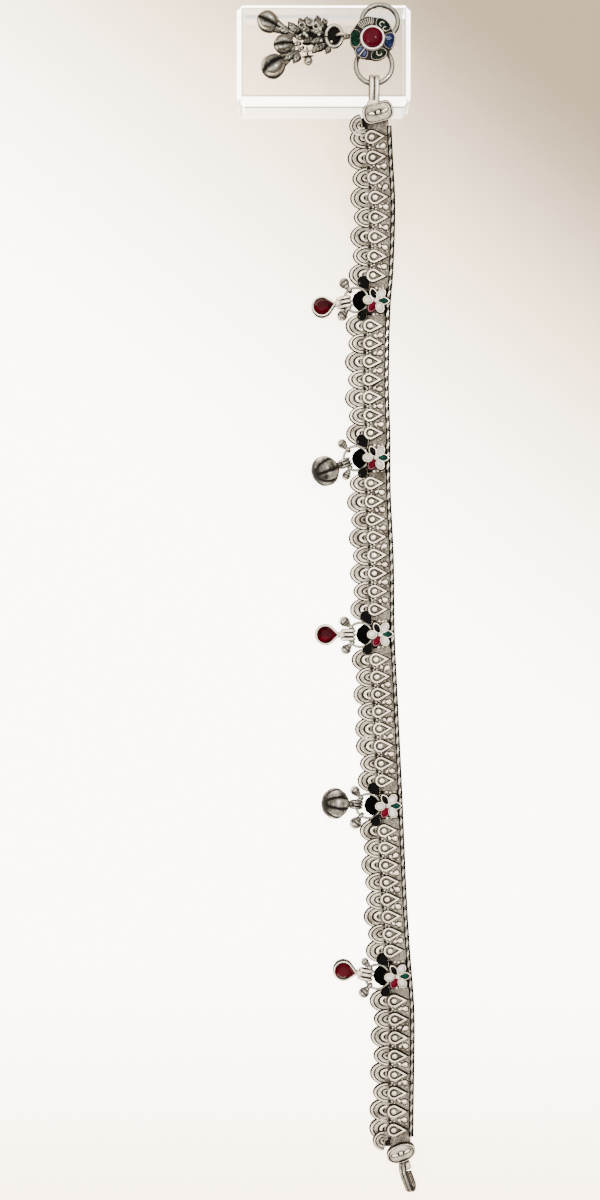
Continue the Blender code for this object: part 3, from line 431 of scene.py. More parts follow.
def fired_glass_group():
    """Enamel colour that pools deeper in places, with painted shade in its creases and on its steep sides,
    specks and faint pale streaks.
    """
    tree, takes, gives = group(
        "fired glass",
        {
            "Light Colour": (0.1, 0.4, 0.3), "Deep Colour": (0.01, 0.1, 0.08),
            "Streak Colour": (0.6, 0.7, 0.7), "Streaks": 0.2,
        },
        {"Colour": COLOUR, "Height": NUMBER},
    )
    where = spot_on(tree)
    pool = spread(tree, noise(tree, where, 700.0, 4.0), 0.38, 0.62)
    colour = blended(tree, pool, takes["Light Colour"], takes["Deep Colour"])
    # Painted shade: the enamel goes nearly black where the baked depth is high
    colour = blended(tree, spread(tree, patina_and_shade_depth(tree), 0.2, 1.0), colour, (0.01, 0.008, 0.008))
    streak = spread(tree, noise(tree, where, 2400.0, 2.0), 0.6, 0.7)
    streak = reckon(tree, streak, takes["Streaks"], "MULTIPLY")
    tree.links.new(blended(tree, streak, colour, takes["Streak Colour"]), gives["Colour"])
    tree.links.new(noise(tree, where, 900.0, 2.0), gives["Height"])
    return tree


def new_finish(name):
    material = bpy.data.materials.new(name)
    material.use_nodes = True
    tree = material.node_tree
    return material, tree, tree.nodes["Principled BSDF"]


def placed_group(tree, inner, values):
    holder = tree.nodes.new("ShaderNodeGroup")
    holder.node_tree = inner
    for name, value in values.items():
        holder.inputs[name].default_value = (*value, 1.0) if isinstance(value, tuple) else value
    return holder.outputs


def bumped(tree, shader, height, strength, distance):
    bump = tree.nodes.new("ShaderNodeBump")
    bump.inputs["Strength"].default_value = strength
    bump.inputs["Distance"].default_value = distance
    tree.links.new(height, bump.inputs["Height"])
    tree.links.new(bump.outputs["Normal"], shader.inputs["Normal"])


def silver(name, rubbed, cloud, patina_and_shade, polish, dull, clouds, skin):
    """Silver with a colour and a roughness where rubbed and in creases, clouds of tarnish and a cast skin."""
    material, tree, shader = new_finish(name)
    out = placed_group(tree, PATINA, {
        "Rubbed Colour": rubbed, "Cloud Colour": cloud, "Crease Colour": patina_and_shade,
        "Cloud Strength": clouds, "Rubbed Roughness": polish, "Crease Roughness": dull,
    })
    tree.links.new(out["Colour"], shader.inputs["Base Color"])
    tree.links.new(out["Roughness"], shader.inputs["Roughness"])
    tree.links.new(spread(tree, out["Rubbed"], 0.2, 0.8, 0.0, 0.92), shader.inputs["Metallic"])
    shader.inputs["Specular IOR Level"].default_value = 0.02
    grain = placed_group(tree, CAST_SKIN, {"Pit Depth": 0.5, "Lump Depth": 0.6})
    bumped(tree, shader, grain["Height"], skin, 0.00004)
    return material


def enamel(name, light, deep, streak, streaks):
    """Glassy enamel whose last number is how strong its streaks are."""
    material, tree, shader = new_finish(name)
    out = placed_group(tree, FIRED_GLASS, {
        "Light Colour": light, "Deep Colour": deep, "Streak Colour": streak, "Streaks": streaks,
    })
    tree.links.new(out["Colour"], shader.inputs["Base Color"])
    shader.inputs["Roughness"].default_value = 0.12
    shader.inputs["Specular IOR Level"].default_value = 0.03
    bumped(tree, shader, out["Height"], 0.15, 0.00004)
    return material


def stone(name, light, deep, gloss, bands):
    """A polished red stone: cloudy depth of colour and faint polishing marks."""
    material, tree, shader = new_finish(name)
    where = spot_on(tree)
    depth = spread(tree, noise(tree, where, bands, 4.0), 0.36, 0.64)
    tree.links.new(blended(tree, depth, light, deep), shader.inputs["Base Color"])
    scuffs = spread(tree, noise(tree, where, 3800.0, 2.0), 0.45, 0.8, gloss, gloss + 0.12)
    tree.links.new(scuffs, shader.inputs["Roughness"])
    shader.inputs["Specular IOR Level"].default_value = 0.06
    bumped(tree, shader, noise(tree, where, 600.0, 2.0), 0.06, 0.00005)
    return material


def acrylic():
    """Clear cast acrylic, with painted grey lines along its bevel edges and a painted white glow on its cut
    sides. Shadow rays pass it, since its light would otherwise be lost.
    """
    material, tree, shader = new_finish("clear_acrylic_cast")
    where = spot_on(tree)
    tint = spread(tree, noise(tree, where, 60.0, 2.0), 0.3, 0.7)
    tint = blended(tree, tint, (0.985, 0.985, 0.975), (0.97, 0.965, 0.95))
    # Painted shade: thin grey lines are painted along the edges of the bevels
    spot = parts_of(tree, where)
    from_side = reckon(tree, spot["X"], 0.0, "ABSOLUTE")
    from_side = reckon(tree, from_side, BLOCK_WIDTH / 2 - BLOCK_BEVEL, "SUBTRACT")
    from_end = reckon(tree, spot["Y"], 0.0, "ABSOLUTE")
    from_end = reckon(tree, from_end, BLOCK_DEPTH / 2 - BLOCK_BEVEL, "SUBTRACT")
    inner = reckon(tree, reckon(tree, from_side, from_end, "MAXIMUM"), 0.0, "ABSOLUTE")
    corner = spread(tree, reckon(tree, from_side, from_end, "MINIMUM"), 0.0003, 0.0004)
    outer = reckon(tree, spot["Z"], WALL_TOP, "SUBTRACT")
    outer = reckon(tree, outer, 0.0, "ABSOLUTE")
    inner = spread(tree, inner, 0.0001, 0.00025, 0.85, 0.0)
    outer = spread(tree, outer, 0.0003, 0.0005, 1.0, 0.0)
    inside = tree.nodes.new("ShaderNodeNewGeometry").outputs["Backfacing"]
    line = reckon(tree, inner, outer, "MAXIMUM")
    line = reckon(tree, line, reckon(tree, corner, 0.7, "MULTIPLY"), "MAXIMUM")
    line = reckon(tree, line, reckon(tree, 1.0, inside, "SUBTRACT"), "MULTIPLY")
    tree.links.new(blended(tree, line, tint, (0.05, 0.05, 0.047)), shader.inputs["Base Color"])
    marks = spread(tree, noise(tree, where, 1500.0, 5.0), 0.5, 0.8, 0.015, 0.07)
    tree.links.new(marks, shader.inputs["Roughness"])
    shader.inputs["IOR"].default_value = 1.3
    shader.inputs["Transmission Weight"].default_value = 1.0
    # Painted light: the cut sides and bevels glow white, as if they gathered light
    lie = parts_of(tree, tree.nodes.new("ShaderNodeTexCoord").outputs["Normal"])
    level = reckon(tree, lie["Z"], 0.0, "ABSOLUTE")
    low = spread(tree, spot["Z"], 0.69 * BLOCK_HEIGHT, WALL_TOP, 0.3, 1.0)
    amount = reckon(tree, spread(tree, level, 0.75, 0.98, 1.0, 0.0), low, "MULTIPLY")
    amount = reckon(tree, amount, reckon(tree, 1.0, line, "SUBTRACT"), "MULTIPLY")
    amount = reckon(tree, amount, spread(tree, inside, 0.0, 1.0, 1.0, 0.35), "MULTIPLY")
    painted_glow = blended(tree, amount, (0.0, 0.0, 0.0), (1.0, 0.97, 0.93))
    tree.links.new(painted_glow, shader.inputs["Emission Color"])
    shader.inputs["Emission Strength"].default_value = 6.0
    clear = tree.nodes.new("ShaderNodeBsdfTransparent")
    clear.inputs["Color"].default_value = (0.93, 0.93, 0.92, 1.0)
    rays = tree.nodes.new("ShaderNodeLightPath")
    mix = tree.nodes.new("ShaderNodeMixShader")
    tree.links.new(rays.outputs["Is Shadow Ray"], mix.inputs[0])
    tree.links.new(shader.outputs["BSDF"], mix.inputs[1])
    tree.links.new(clear.outputs["BSDF"], mix.inputs[2])
    tree.links.new(mix.outputs["Shader"], tree.nodes["Material Output"].inputs["Surface"])
    return material


# Shapes


def pick_for(value, k):
    """The value for one loop, where a list or tuple has one for each."""
    return value[k] if isinstance(value, (list, tuple)) else value


def full_turn(count):
    return [2 * pi * k / count for k in range(count)]


def eased(value, power):
    """A sine or cosine that makes a squarer curve with a low power and a sharper one with a high power."""
    return copysign(abs(value) ** power, value)


class Shape:
    """One piece's points, faces, the finish of each face and how dark each point is painted, as patina in its
    hollows and painted shade.
    """

    def __init__(self):
        self.points = []
        self.patina_and_shade = []
        self.faces = []
        self.finishes = []

    def skin(self, place, loops, patina_and_shade, finish=0, start=None, end=None):
        """Faces over closed loops of points. The depth of patina and painted shade, and the finish, are one
        value, or one for each loop.
        """
        first = len(self.points)
        count = len(loops[0])
        for k, loop in enumerate(loops):
            depth = pick_for(patina_and_shade, k)
            self.points.extend((place @ Vector(point))[:] for point in loop)
            self.patina_and_shade.extend(depth if isinstance(depth, (list, tuple)) else [depth] * count)
        for k in range(len(loops) - 1):
            here = pick_for(finish, k)
            a, b = first + k * count, first + (k + 1) * count
            for i in range(count):
                j = (i + 1) % count
                self.faces.append((a + i, a + j, b + j, b + i))
                self.finishes.append(here)
        last = first + (len(loops) - 1) * count
        for ring, tip, k in ((first, start, 0), (last, end, -1)):
            if tip is None:
                continue
            here = pick_for(finish, k)
            self.points.append((place @ Vector(tip))[:])
            self.patina_and_shade.append(self.patina_and_shade[ring])
            for i in range(count):
                self.faces.append((ring + i, ring + (i + 1) % count, len(self.points) - 1))
                self.finishes.append(here)

    def raised(self, place, outline, rows, top, finish=0, centre=(0.0, 0.0)):
        """A relief over an outline, from rows of (share of the outline, height, depth of patina and painted
        shade) and its top.
        """
        cx, cy = centre
        loops = [[(cx + (x - cx) * s, cy + (y - cy) * s, z) for x, y in outline] for s, z, _ in rows]
        depths = [depth for _, _, depth in rows]
        self.skin(place, loops, depths, finish, (cx, cy, rows[0][1]), (cx, cy, top))

    def tube(
        self, place, points, radius, sides=10, closed=False, across=None, dark=0.5, patina_and_shade=0.0, finish=0,
    ):
        """A wire along points that lie in one plane, with painted shade darker at its sides than on its
        crown.
        """
        points = [Vector(point) for point in points]
        across = across or radius
        plane = Vector((0.0, 0.0, 0.0))
        for i in range(1, len(points) - 1):
            plane += (points[i] - points[i - 1]).cross(points[i + 1] - points[i])
        plane = plane.normalized() if plane.length > 1e-12 else Vector((0.0, 0.0, 1.0))
        turns = full_turn(sides)
        last = len(points) - 1
        loops = []
        for i, point in enumerate(points):
            before = points[i - 1] if i > 0 or closed else point
            after = points[(i + 1) % len(points)] if i < last or closed else point
            out = (after - before).normalized().cross(plane)
            loops.append([point + out * radius * cos(t) + plane * across * sin(t) for t in turns])
        if closed:
            loops.append(loops[0])
        shade = [patina_and_shade + dark * cos(t) ** 2 for t in turns]
        start, end = (None, None) if closed else (points[0], points[-1])
        self.skin(place, loops, [shade] * len(loops), finish, start, end)

    def ring(self, place, radius, wire, tall=None, sides=40, wire_sides=10, across=None, dark=0.5):
        stretch = (tall or radius) / radius
        turns = full_turn(sides)
        points = [(radius * cos(t), radius * stretch * sin(t), 0.0) for t in turns]
        self.tube(place, points, wire, wire_sides, True, across, dark)

    def grain(self, place, x, y, z, radius, finish=0, sides=7):
        """A tiny round grain standing on a surface."""
        loops = []
        for share, high in ((1.0, -0.5), (0.95, 0.35), (0.6, 0.85)):
            turns = full_turn(sides)
            r = radius * share
            loops.append([(x + r * cos(t), y + r * sin(t), z + radius * high) for t in turns])
        self.skin(place, loops, (1.0, 0.25, 0.0), finish, end=(x, y, z + radius))

    def turned(self, place, profile, sides=28, creases=0, depth=0.06, sharp=5.0, phase=0.0):
        """A shape turned about X from (distance, radius, depth of patina and painted shade) rows, with
        grooves along it that get painted shade.
        """
        start, *rows, end = profile
        turns = full_turn(sides)
        cuts = [abs(cos(creases * t / 2 + phase)) ** sharp if creases else 0.0 for t in turns]
        loops, shades = [], []
        for x, radius, patina_and_shade in rows:
            grown = [radius * (1 - depth * cut) for cut in cuts]
            loops.append([(x, r * cos(t), r * sin(t)) for r, t in zip(grown, turns)])
            shades.append([min(1.0, patina_and_shade + 0.9 * cut) for cut in cuts])
        self.skin(place, loops, shades, start=(start[0], 0, 0), end=(end[0], 0, 0))


def rounded(length, width, point=0.0, count=24):
    """An oval outline whose two ends are round, or pointed like a marquise."""
    outline = []
    for t in full_turn(count):
        outline.append((length / 2 * cos(t), width / 2 * eased(sin(t), 1 + point)))
    return outline


def tear_outline(width, point, count=30):
    """Round end at the left, its centre at the origin, and a point at the right."""
    radius = width / 2
    reach = radius + point
    edge = acos(radius / reach)
    side = 5
    start = (radius * cos(edge), radius * sin(edge))
    line = [(reach + (start[0] - reach) * k / side, start[1] * k / side) for k in range(side)]
    arc_count = count - 2 * side + 1
    turns = [edge + (2 * pi - 2 * edge) * k / (arc_count - 1) for k in range(arc_count)]
    arc = [(radius * cos(t), radius * sin(t)) for t in turns]
    return line + arc + [(x, -y) for x, y in reversed(line[1:])]


def in_scene(name, data):
    thing = bpy.data.objects.new(name, data)
    bpy.context.scene.collection.objects.link(thing)
    return thing


def made(node, ending, shape, finishes, sharp=40.0, rubbed=True):
    """The finished piece: it rides on the anklet and stands for one of the solids. With rubbed set, its steep
    sides and undersides get painted shade.
    """
    name = f"{node}_{ending}"
    mesh = bpy.data.meshes.new(name)
    mesh.from_pydata(shape.points, [], shape.faces)
    mesh.attributes.new("patina_and_shade", "FLOAT", "POINT").data.foreach_set("value", shape.patina_and_shade)
    for material in finishes:
        mesh.materials.append(material)
    mesh.polygons.foreach_set("material_index", shape.finishes)
    tidy = bmesh.new()
    tidy.from_mesh(mesh)
    bmesh.ops.remove_doubles(tidy, verts=tidy.verts, dist=1e-8)
    bmesh.ops.recalc_face_normals(tidy, faces=tidy.faces)
    tidy.to_mesh(mesh)
    tidy.free()
    mesh.shade_smooth()
    mesh.set_sharp_from_angle(angle=radians(sharp))
    if rubbed:
        # Painted shade: steep sides and undersides are darkened by how far they face away from up
        depths = mesh.attributes["patina_and_shade"].data
        for vertex, depth in zip(mesh.vertices, depths):
            depth.value = max(depth.value, min(1.0, (0.55 - vertex.normal.z) / 0.4))
    piece = in_scene(name, mesh)
    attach(piece, "root")
    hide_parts(node)


HERE = Matrix.Identity(4)


def spun(degrees, axis="Z"):
    return Matrix.Rotation(radians(degrees), 4, axis)


def at(x=0.0, y=0.0, z=0.0, turn=0.0):
    return Matrix.Translation((x, y, z)) @ spun(turn)


UPRIGHT = Matrix.Rotation(pi / 2, 4, "X")


# Band


# Share of the outline, share of the rise and crease, from the foot of each relief to its top
TEAR_ROWS = [
    (1.19, -0.02, 1.0), (1.05, 0.05, 1.0), (1.0, 0.5, 1.0), (0.975, 0.80, 0.8), (0.95, 0.86, 0.0),
    (0.73, 0.86, 0.0), (0.70, 0.76, 0.5), (0.675, 0.5, 1.0), (0.62, 0.4, 0.9), (0.54, 0.4, 0.6),
    (0.3, 0.4, 0.6),
]
BEAD_ROWS = [(1.12, 0.42, 1.0), (1.0, 0.6, 0.8), (0.93, 0.85, 0.2), (0.82, 0.95, 0.0), (0.4, 1.0, 0.0)]
LEAF_BEADS = 30
LEAF_SPECKS = 40
LONG_LEAF_ROWS = [
    (1.0, -0.98, 1.0), (1.05, -0.8, 1.0), (1.05, -0.34, 1.0), (0.98, -0.14, 1.0), (0.965, -0.08, 0.7),
    (0.95, -0.03, 0.0), (0.85, -0.03, 0.0), (0.835, -0.1, 0.5), (0.82, -0.3, 1.0), (0.765, -0.3, 1.0),
    (0.75, -0.08, 0.6), (0.73, 0.0, 0.25), (0.56, 0.0, 0.38), (0.54, -0.08, 0.7), (0.52, -0.28, 1.0),
    (0.44, -0.28, 1.0), (0.42, 0.0, 0.5), (0.40, 0.04, 0.0), (0.28, 0.08, 0.0), (0.25, 0.0, 0.4),
    (0.22, -0.2, 1.0), (0.08, -0.22, 0.9),
]
SHORT_LEAF_ROWS = [
    (1.0, -0.98, 1.0), (1.06, -0.8, 1.0), (1.06, -0.34, 1.0), (0.98, -0.14, 1.0), (0.96, -0.06, 0.7),
    (0.94, 0.0, 0.0), (0.83, 0.0, 0.0), (0.81, -0.08, 0.5), (0.79, -0.24, 1.0), (0.72, -0.24, 1.0),
    (0.70, -0.06, 0.5), (0.68, 0.0, 0.2), (0.46, -0.02, 0.35), (0.44, -0.1, 0.7), (0.42, -0.25, 1.0),
    (0.33, -0.25, 1.0), (0.31, -0.05, 0.4), (0.28, 0.0, 0.1), (0.18, -0.1, 0.4), (0.08, -0.25, 0.8),
]


def add_teardrop(shape, place):
    outline = tear_outline(TEAR_WIDTH, TEAR_POINT)
    rows = [(share, STRIP_THICK + TEAR_RISE * high, depth) for share, high, depth in TEAR_ROWS]
    seat = place @ at(TEAR_SHIFT - TEAR_POINT / 2)
    shape.raised(seat, outline, rows, top=STRIP_THICK + 0.44 * TEAR_RISE)
    rows = [(share, STRIP_THICK + TEAR_RISE * high, depth) for share, high, depth in BEAD_ROWS]
    bead = rounded(0.44 * TEAR_WIDTH, 0.40 * TEAR_WIDTH, count=16)
    shape.raised(seat @ at(0.05 * MM), bead, rows, top=STRIP_THICK + 1.06 * TEAR_RISE)


def add_leaf(shape, place, kind, root=LEAF_ROOT):
    """A shell-shaped leaf, stepped in rows about its root, whose inner end runs in under the teardrop."""
    long = kind == "l"
    reach = LONG_LEAF_REACH if long else SHORT_LEAF_REACH
    height = LONG_LEAF_HEIGHT if long else SHORT_LEAF_HEIGHT
    top = LONG_LEAF_TOP if long else SHORT_LEAF_TOP
    size = reach - root
    peak = 1.0 if long else 1.12
    outline = []
    for t in full_turn(34):
        along = size if cos(t) < 0 else 0.15 * size
        outline.append((along * cos(t), height / 2 * eased(sin(t), peak)))
    rows = []
    for share, high, depth in LONG_LEAF_ROWS if long else SHORT_LEAF_ROWS:
        rows.append((share, max(top + high * LEAF_THICK, 2 * LIFT), depth))
    first = len(shape.points)
    shape.raised(place @ at(-root), outline, rows, top=top - 0.34 * LEAF_THICK)
    # Painted shade: the leaf darkens a little beside its teardrop, and its inner end is plain
    back = place.inverted()
    for i in range(first, len(shape.points)):
        x = (back @ Vector(shape.points[i])).x + root
        if x > 0.05 * MM:
            shape.patina_and_shade[i] = 0.45
        else:
            shape.patina_and_shade[i] = min(1.0, shape.patina_and_shade[i] + max(0.0, 0.4 + x / (0.5 * size)) * 0.3)
    if not long:
        return
    for k in range(LEAF_BEADS):
        t = pi / 2 + pi * (k + 0.5) / LEAF_BEADS
        x, y = -root + 0.91 * size * cos(t), 0.91 * height / 2 * sin(t)
        shape.grain(place, x, y, top - 0.07 * MM, 0.13 * MM, 0, 5)
    speck = random.Random(11)
    for _ in range(LEAF_SPECKS):
        share = speck.uniform(0.56, 0.8)
        t = pi / 2 + pi * speck.uniform(0.08, 0.92)
        x, y = -root + share * size * cos(t), share * height / 2 * sin(t)
        shape.grain(place, x, y, top, speck.uniform(0.06, 0.11) * MM, 0, 5)


def add_ground(shape, start, end, places):
    """The ground strip, with painted shade: black between the leaf roots and beside the chain, grey between
    the teardrops.
    """
    across = [-1.0, -0.98, -0.84, -0.7, -0.58, -0.46, -0.2, 0.1, 0.4, 0.66, 0.84, 0.95, 1.0]
    shade = [1.0, 1.0, 1.0, 1.0, 0.9, 0.72, 0.64, 0.6, 0.58, 0.58, 0.6, 0.55, 0.7]
    steps = max(6, round((end - start) / (0.3 * MM)))
    pitch = places[1] - places[0]
    loops, depths = [], []
    for k in range(steps + 1):
        along = start + (end - start) * k / steps
        place = on_band(along)
        near = min(abs(along - p) for p in places) / pitch
        open_here = max(0.0, min(1.0, (near - 0.36) / 0.08))
        left = [0.5 + (depth - 0.5) * open_here for depth in shade[:5]]
        depths.append(left + shade[5:] + [1.0, 1.0])
        row = []
        for s in across:
            x = s * (STRIP_LEFT if s < 0 else STRIP_RIGHT)
            dip = 0.06 * MM if abs(s) > 0.99 else 0.0
            row.append(place @ Vector((x, 0, STRIP_THICK - dip)))
        low = [place @ Vector((x, 0, z)) for x, z in ((STRIP_RIGHT, 0.0), (-STRIP_LEFT, 0.0))]
        loops.append(row + low)
    middles = [sum(loop, Vector()) / len(loop) for loop in (loops[0], loops[-1])]
    shape.skin(HERE, loops, depths, 0, *middles)
    # Solder seam that the edge chain lies against
    seam = []
    for k in range(steps + 1):
        place = on_band(start + (end - start) * k / steps)
        far = CHAIN_OFFSET / STRIP_RIGHT - 0.08
        box = ((0.96, 0.1), (0.99, 0.45), (far, 0.2), (far, 0.1))
        seam.append([place @ Vector((STRIP_RIGHT * x, 0, z * MM)) for x, z in box])
    shape.skin(HERE, seam, 0.45)


# Foot to top of the small ornaments between the teardrops: share, height in mm and crease
FILLING_ROWS = [(1.3, 0.7, 1.0), (1.06, 0.74, 1.0), (0.96, 0.9, 0.3), (0.75, 1.06, 0.0), (0.4, 1.12, 0.0)]
# Place and radius in mm of the grains round them
FILLING_GRAINS = [
    (-0.5, 0.34, 0.24), (-0.55, -0.36, 0.2), (-1.1, 0.05, 0.26), (-1.3, 0.5, 0.16), (-1.3, -0.5, 0.16),
    (2.2, 0.9, 0.16), (2.25, -0.85, 0.18), (1.1, 0.75, 0.14), (1.15, -0.8, 0.14),
]


def add_filling(shape, place, pick):
    """Small cast ornaments between two teardrops: a heart by the chain, a bud and a few grains."""
    side = pick.uniform(-0.12, 0.12) * MM
    rows = [(share, high * MM, depth) for share, high, depth in FILLING_ROWS]
    heart = tear_outline(1.25 * MM, 0.45 * MM, 18)
    seat = place @ at(1.78 * MM, side, 0.0, 180 + pick.uniform(-40, 40))
    shape.raised(seat, heart, rows, 1.14 * MM)
    bud = tear_outline(0.8 * MM, 0.6 * MM, 16)
    turn = pick.choice((60, 120, 200, 300)) + pick.uniform(-15, 15)
    shape.raised(place @ at(0.55 * MM, -side, 0.0, turn), bud, rows, top=1.12 * MM)
    for x, y, r in FILLING_GRAINS:
        jitter = pick.uniform(-0.08, 0.08)
        shape.grain(place, (x + jitter) * MM, (y + jitter) * MM, STRIP_THICK, r * MM)


def band_section(index):
    first, last = section_ends(index)
    leaves = SECTIONS[index]["leaves"]
    count = len(leaves)
    pitch = (last - first) / (count - 1)
    margin = TEAR_WIDTH / 2 + PANEL_MARGIN
    places = [first + pitch * k for k in range(count)]
    shape = Shape()
    # The strip runs on under the end caps and the stations' plates
    under = margin + GAP + 0.2 * MM
    begin = 1.1 * MM if index == 0 else first - under
    finish = BAND_LENGTH - 1.1 * MM if index == len(SECTIONS) - 1 else last + under
    add_ground(shape, begin, finish, places)
    pick = random.Random(index + 5)
    for k, (place, kind) in enumerate(zip(places, leaves)):
        add_teardrop(shape, on_band(place))
        add_leaf(shape, on_band(place), kind)
        if k + 1 < count:
            add_filling(shape, on_band(place + pitch / 2), pick)
    if index == 0:
        add_leaf(shape, on_band(END_LEAF_PLACE, up=END_LEAF_LIFT), "s", END_LEAF_ROOT)
    if index == len(SECTIONS) - 1:
        add_leaf(shape, on_band(BAND_LENGTH - END_LEAF_PLACE, up=END_LEAF_LIFT), "s", END_LEAF_ROOT)
    made(f"band_section_{index + 1}", "cast", shape, [LIGHT_SILVER])


# Links of the edge chain
LINK_WIRE = 0.16 * MM
LINK_WIDTH = 0.52 * MM
LINK_INSET = 0.2 * MM
LINK_LENGTH = 1.78 * MM


def edge_chain():
    """Cable links that pass through each other, every other one on its edge and painted darker, over a black
    core of painted shade.
    """
    start = CAP_REACH - TEAR_WIDTH / 2 - PANEL_MARGIN
    end = BAND_LENGTH - start
    step = LINK_LENGTH - 4 * LINK_WIRE
    count = int((end - start - LINK_LENGTH) / step) + 1
    slack = (end - start - LINK_LENGTH) / (count - 1)
    shape = Shape()
    wide, long = LINK_WIDTH / 2 - LINK_WIRE, LINK_LENGTH / 2 - LINK_WIRE
    points = [(wide * eased(cos(t), 1.25), long * sin(t), 0.0) for t in full_turn(16)]
    for k in range(count):
        place = on_band(start + LINK_LENGTH / 2 + slack * k, CHAIN_OFFSET - LINK_INSET, CHAIN_RADIUS)
        flat = k % 2 == 0
        roll = spun(12 if flat else 102, "Y")
        slant = spun(-8)
        shape.tube(place @ slant @ roll, points, LINK_WIRE, 6, True, dark=0.1, patina_and_shade=0.0 if flat else 0.6)
    # Black bed of painted shade that fills the groove between the band and the chain
    steps = 150
    shade_bed = [(-0.66, 0.02), (0.38, 0.02), (0.44, 0.2), (0.38, 0.36), (-0.66, 0.44)]
    loops = []
    for k in range(steps + 1):
        place = on_band(start + (end - start) * k / steps, CHAIN_OFFSET)
        loops.append([place @ Vector((x * MM, 0, z * MM)) for x, z in shade_bed])
    shape.skin(HERE, loops, 1.0, 1)
    made("edge_chain", "links", shape, [BRIGHT_WIRE, SHADE_BLACK])


# Stations


# Angle, kind, length and width in mm, and finish of each petal
STATION_PETALS = [
    (0.0, 0.55, 2.85, 1.75, "green"),
    (57.0, 0.0, 2.5, 1.9, "white"),
    (117.0, 0.55, 2.85, 1.65, "black"),
    (180.0, 0.0, 2.3, 2.0, "white"),
    (240.0, 0.4, 2.85, 1.9, "crimson"),
    (300.0, 0.05, 2.5, 1.9, "white"),
]
# Black leaves of painted shade beside the ring, where the gaps show dark: place in mm, heading, length and
# width in mm
BLACK_LEAVES = [(-2.6, 4.0, -55.0, 3.8, 2.9), (-2.5, -3.45, 62.0, 3.3, 2.3)]
PETAL_FINISHES = ["silver", "green", "white", "black", "crimson", "blush"]
# Share of the outline, share of the flower's rise and crease, from the foot of each petal to its enamel
PETAL_ROWS = [
    (1.2, 0.02, 1.0), (1.07, 0.2, 1.0), (1.0, 0.6, 1.0), (0.95, 0.8, 0.0), (0.83, 0.82, 0.0),
    (0.77, 0.7, 1.0), (0.72, 0.66, 0.6), (0.6, 0.8, 0.0), (0.35, 0.9, 0.0),
]
# Place and radius in mm of the grains on the light ground
STATION_GRAINS = [
    (0.3, 2.9, 0.3), (1.1, 2.75, 0.34), (1.9, 2.85, 0.3), (0.2, -2.9, 0.3), (1.0, -2.75, 0.32),
    (1.9, -2.8, 0.3), (2.3, 2.1, 0.22), (2.3, -2.1, 0.22),
]


def plate_outline():
    end = STATION_REACH - TEAR_WIDTH / 2 - PANEL_MARGIN - GAP
    half = [(STRIP_RIGHT, end), (-PLATE_NECK, end)]
    half += [(x * HANGER_RADIUS, y * HANGER_RADIUS) for x, y in PLATE_EDGE]
    return half + [(PLATE_TIP * HANGER_RADIUS, 0.0)] + [(x, -y) for x, y in reversed(half)]


def add_plate(shape, place, pick):
    """Plate painted black and black-enamelled leaves beside the ring, both painted shade where the gaps show
    dark, and light ground beside the flower.
    """
    thick = PLATE_THICK
    outline = [(x + 0.35 * MM if x > 0 else x, y) for x, y in plate_outline()]
    rows = [(0.97, 0.0, 1.0), (1.0, 0.1 * thick, 1.0), (1.0, 0.85 * thick, 1.0), (0.985, thick, 1.0)]
    shape.raised(place, outline, rows, thick, 6)
    end = outline[0][1]
    right = STRIP_RIGHT + 0.05 * MM
    ground = [(right, end), (-0.2 * MM, end), (-0.9 * MM, 0.55 * end), (-0.5 * MM, 0.0)]
    ground += [(-0.9 * MM, -0.55 * end), (-0.2 * MM, -end), (right, -end)]
    rows = [(1.0, 0.5 * thick, 1.0), (0.99, STRIP_THICK - 0.1 * MM, 1.0), (0.9, STRIP_THICK, 0.6)]
    shape.raised(place, ground, rows, STRIP_THICK, 0, (1.0 * MM, 0.0))
    rows = [(0.9, 0.9, 1.0), (1.0, 0.98, 0.5), (1.0, 1.2, 0.5), (0.94, 1.3, 0.0), (0.9, 1.27, 0.0)]
    rows = [(share, high * MM, depth) for share, high, depth in rows]
    for x, y, turn, length, width in BLACK_LEAVES:
        leaf = tear_outline(width * MM, (length - width) * MM, 24)
        shape.raised(place @ at(x * MM, y * MM, 0.0, turn), leaf, rows, 1.27 * MM, [3, 3, 0, 3, 3])
    for x, y, r in STATION_GRAINS:
        x += pick.uniform(-0.1, 0.1)
        shape.grain(place, x * MM, y * MM, STRIP_THICK - 0.05 * MM, 1.15 * r * MM, 0, 9)


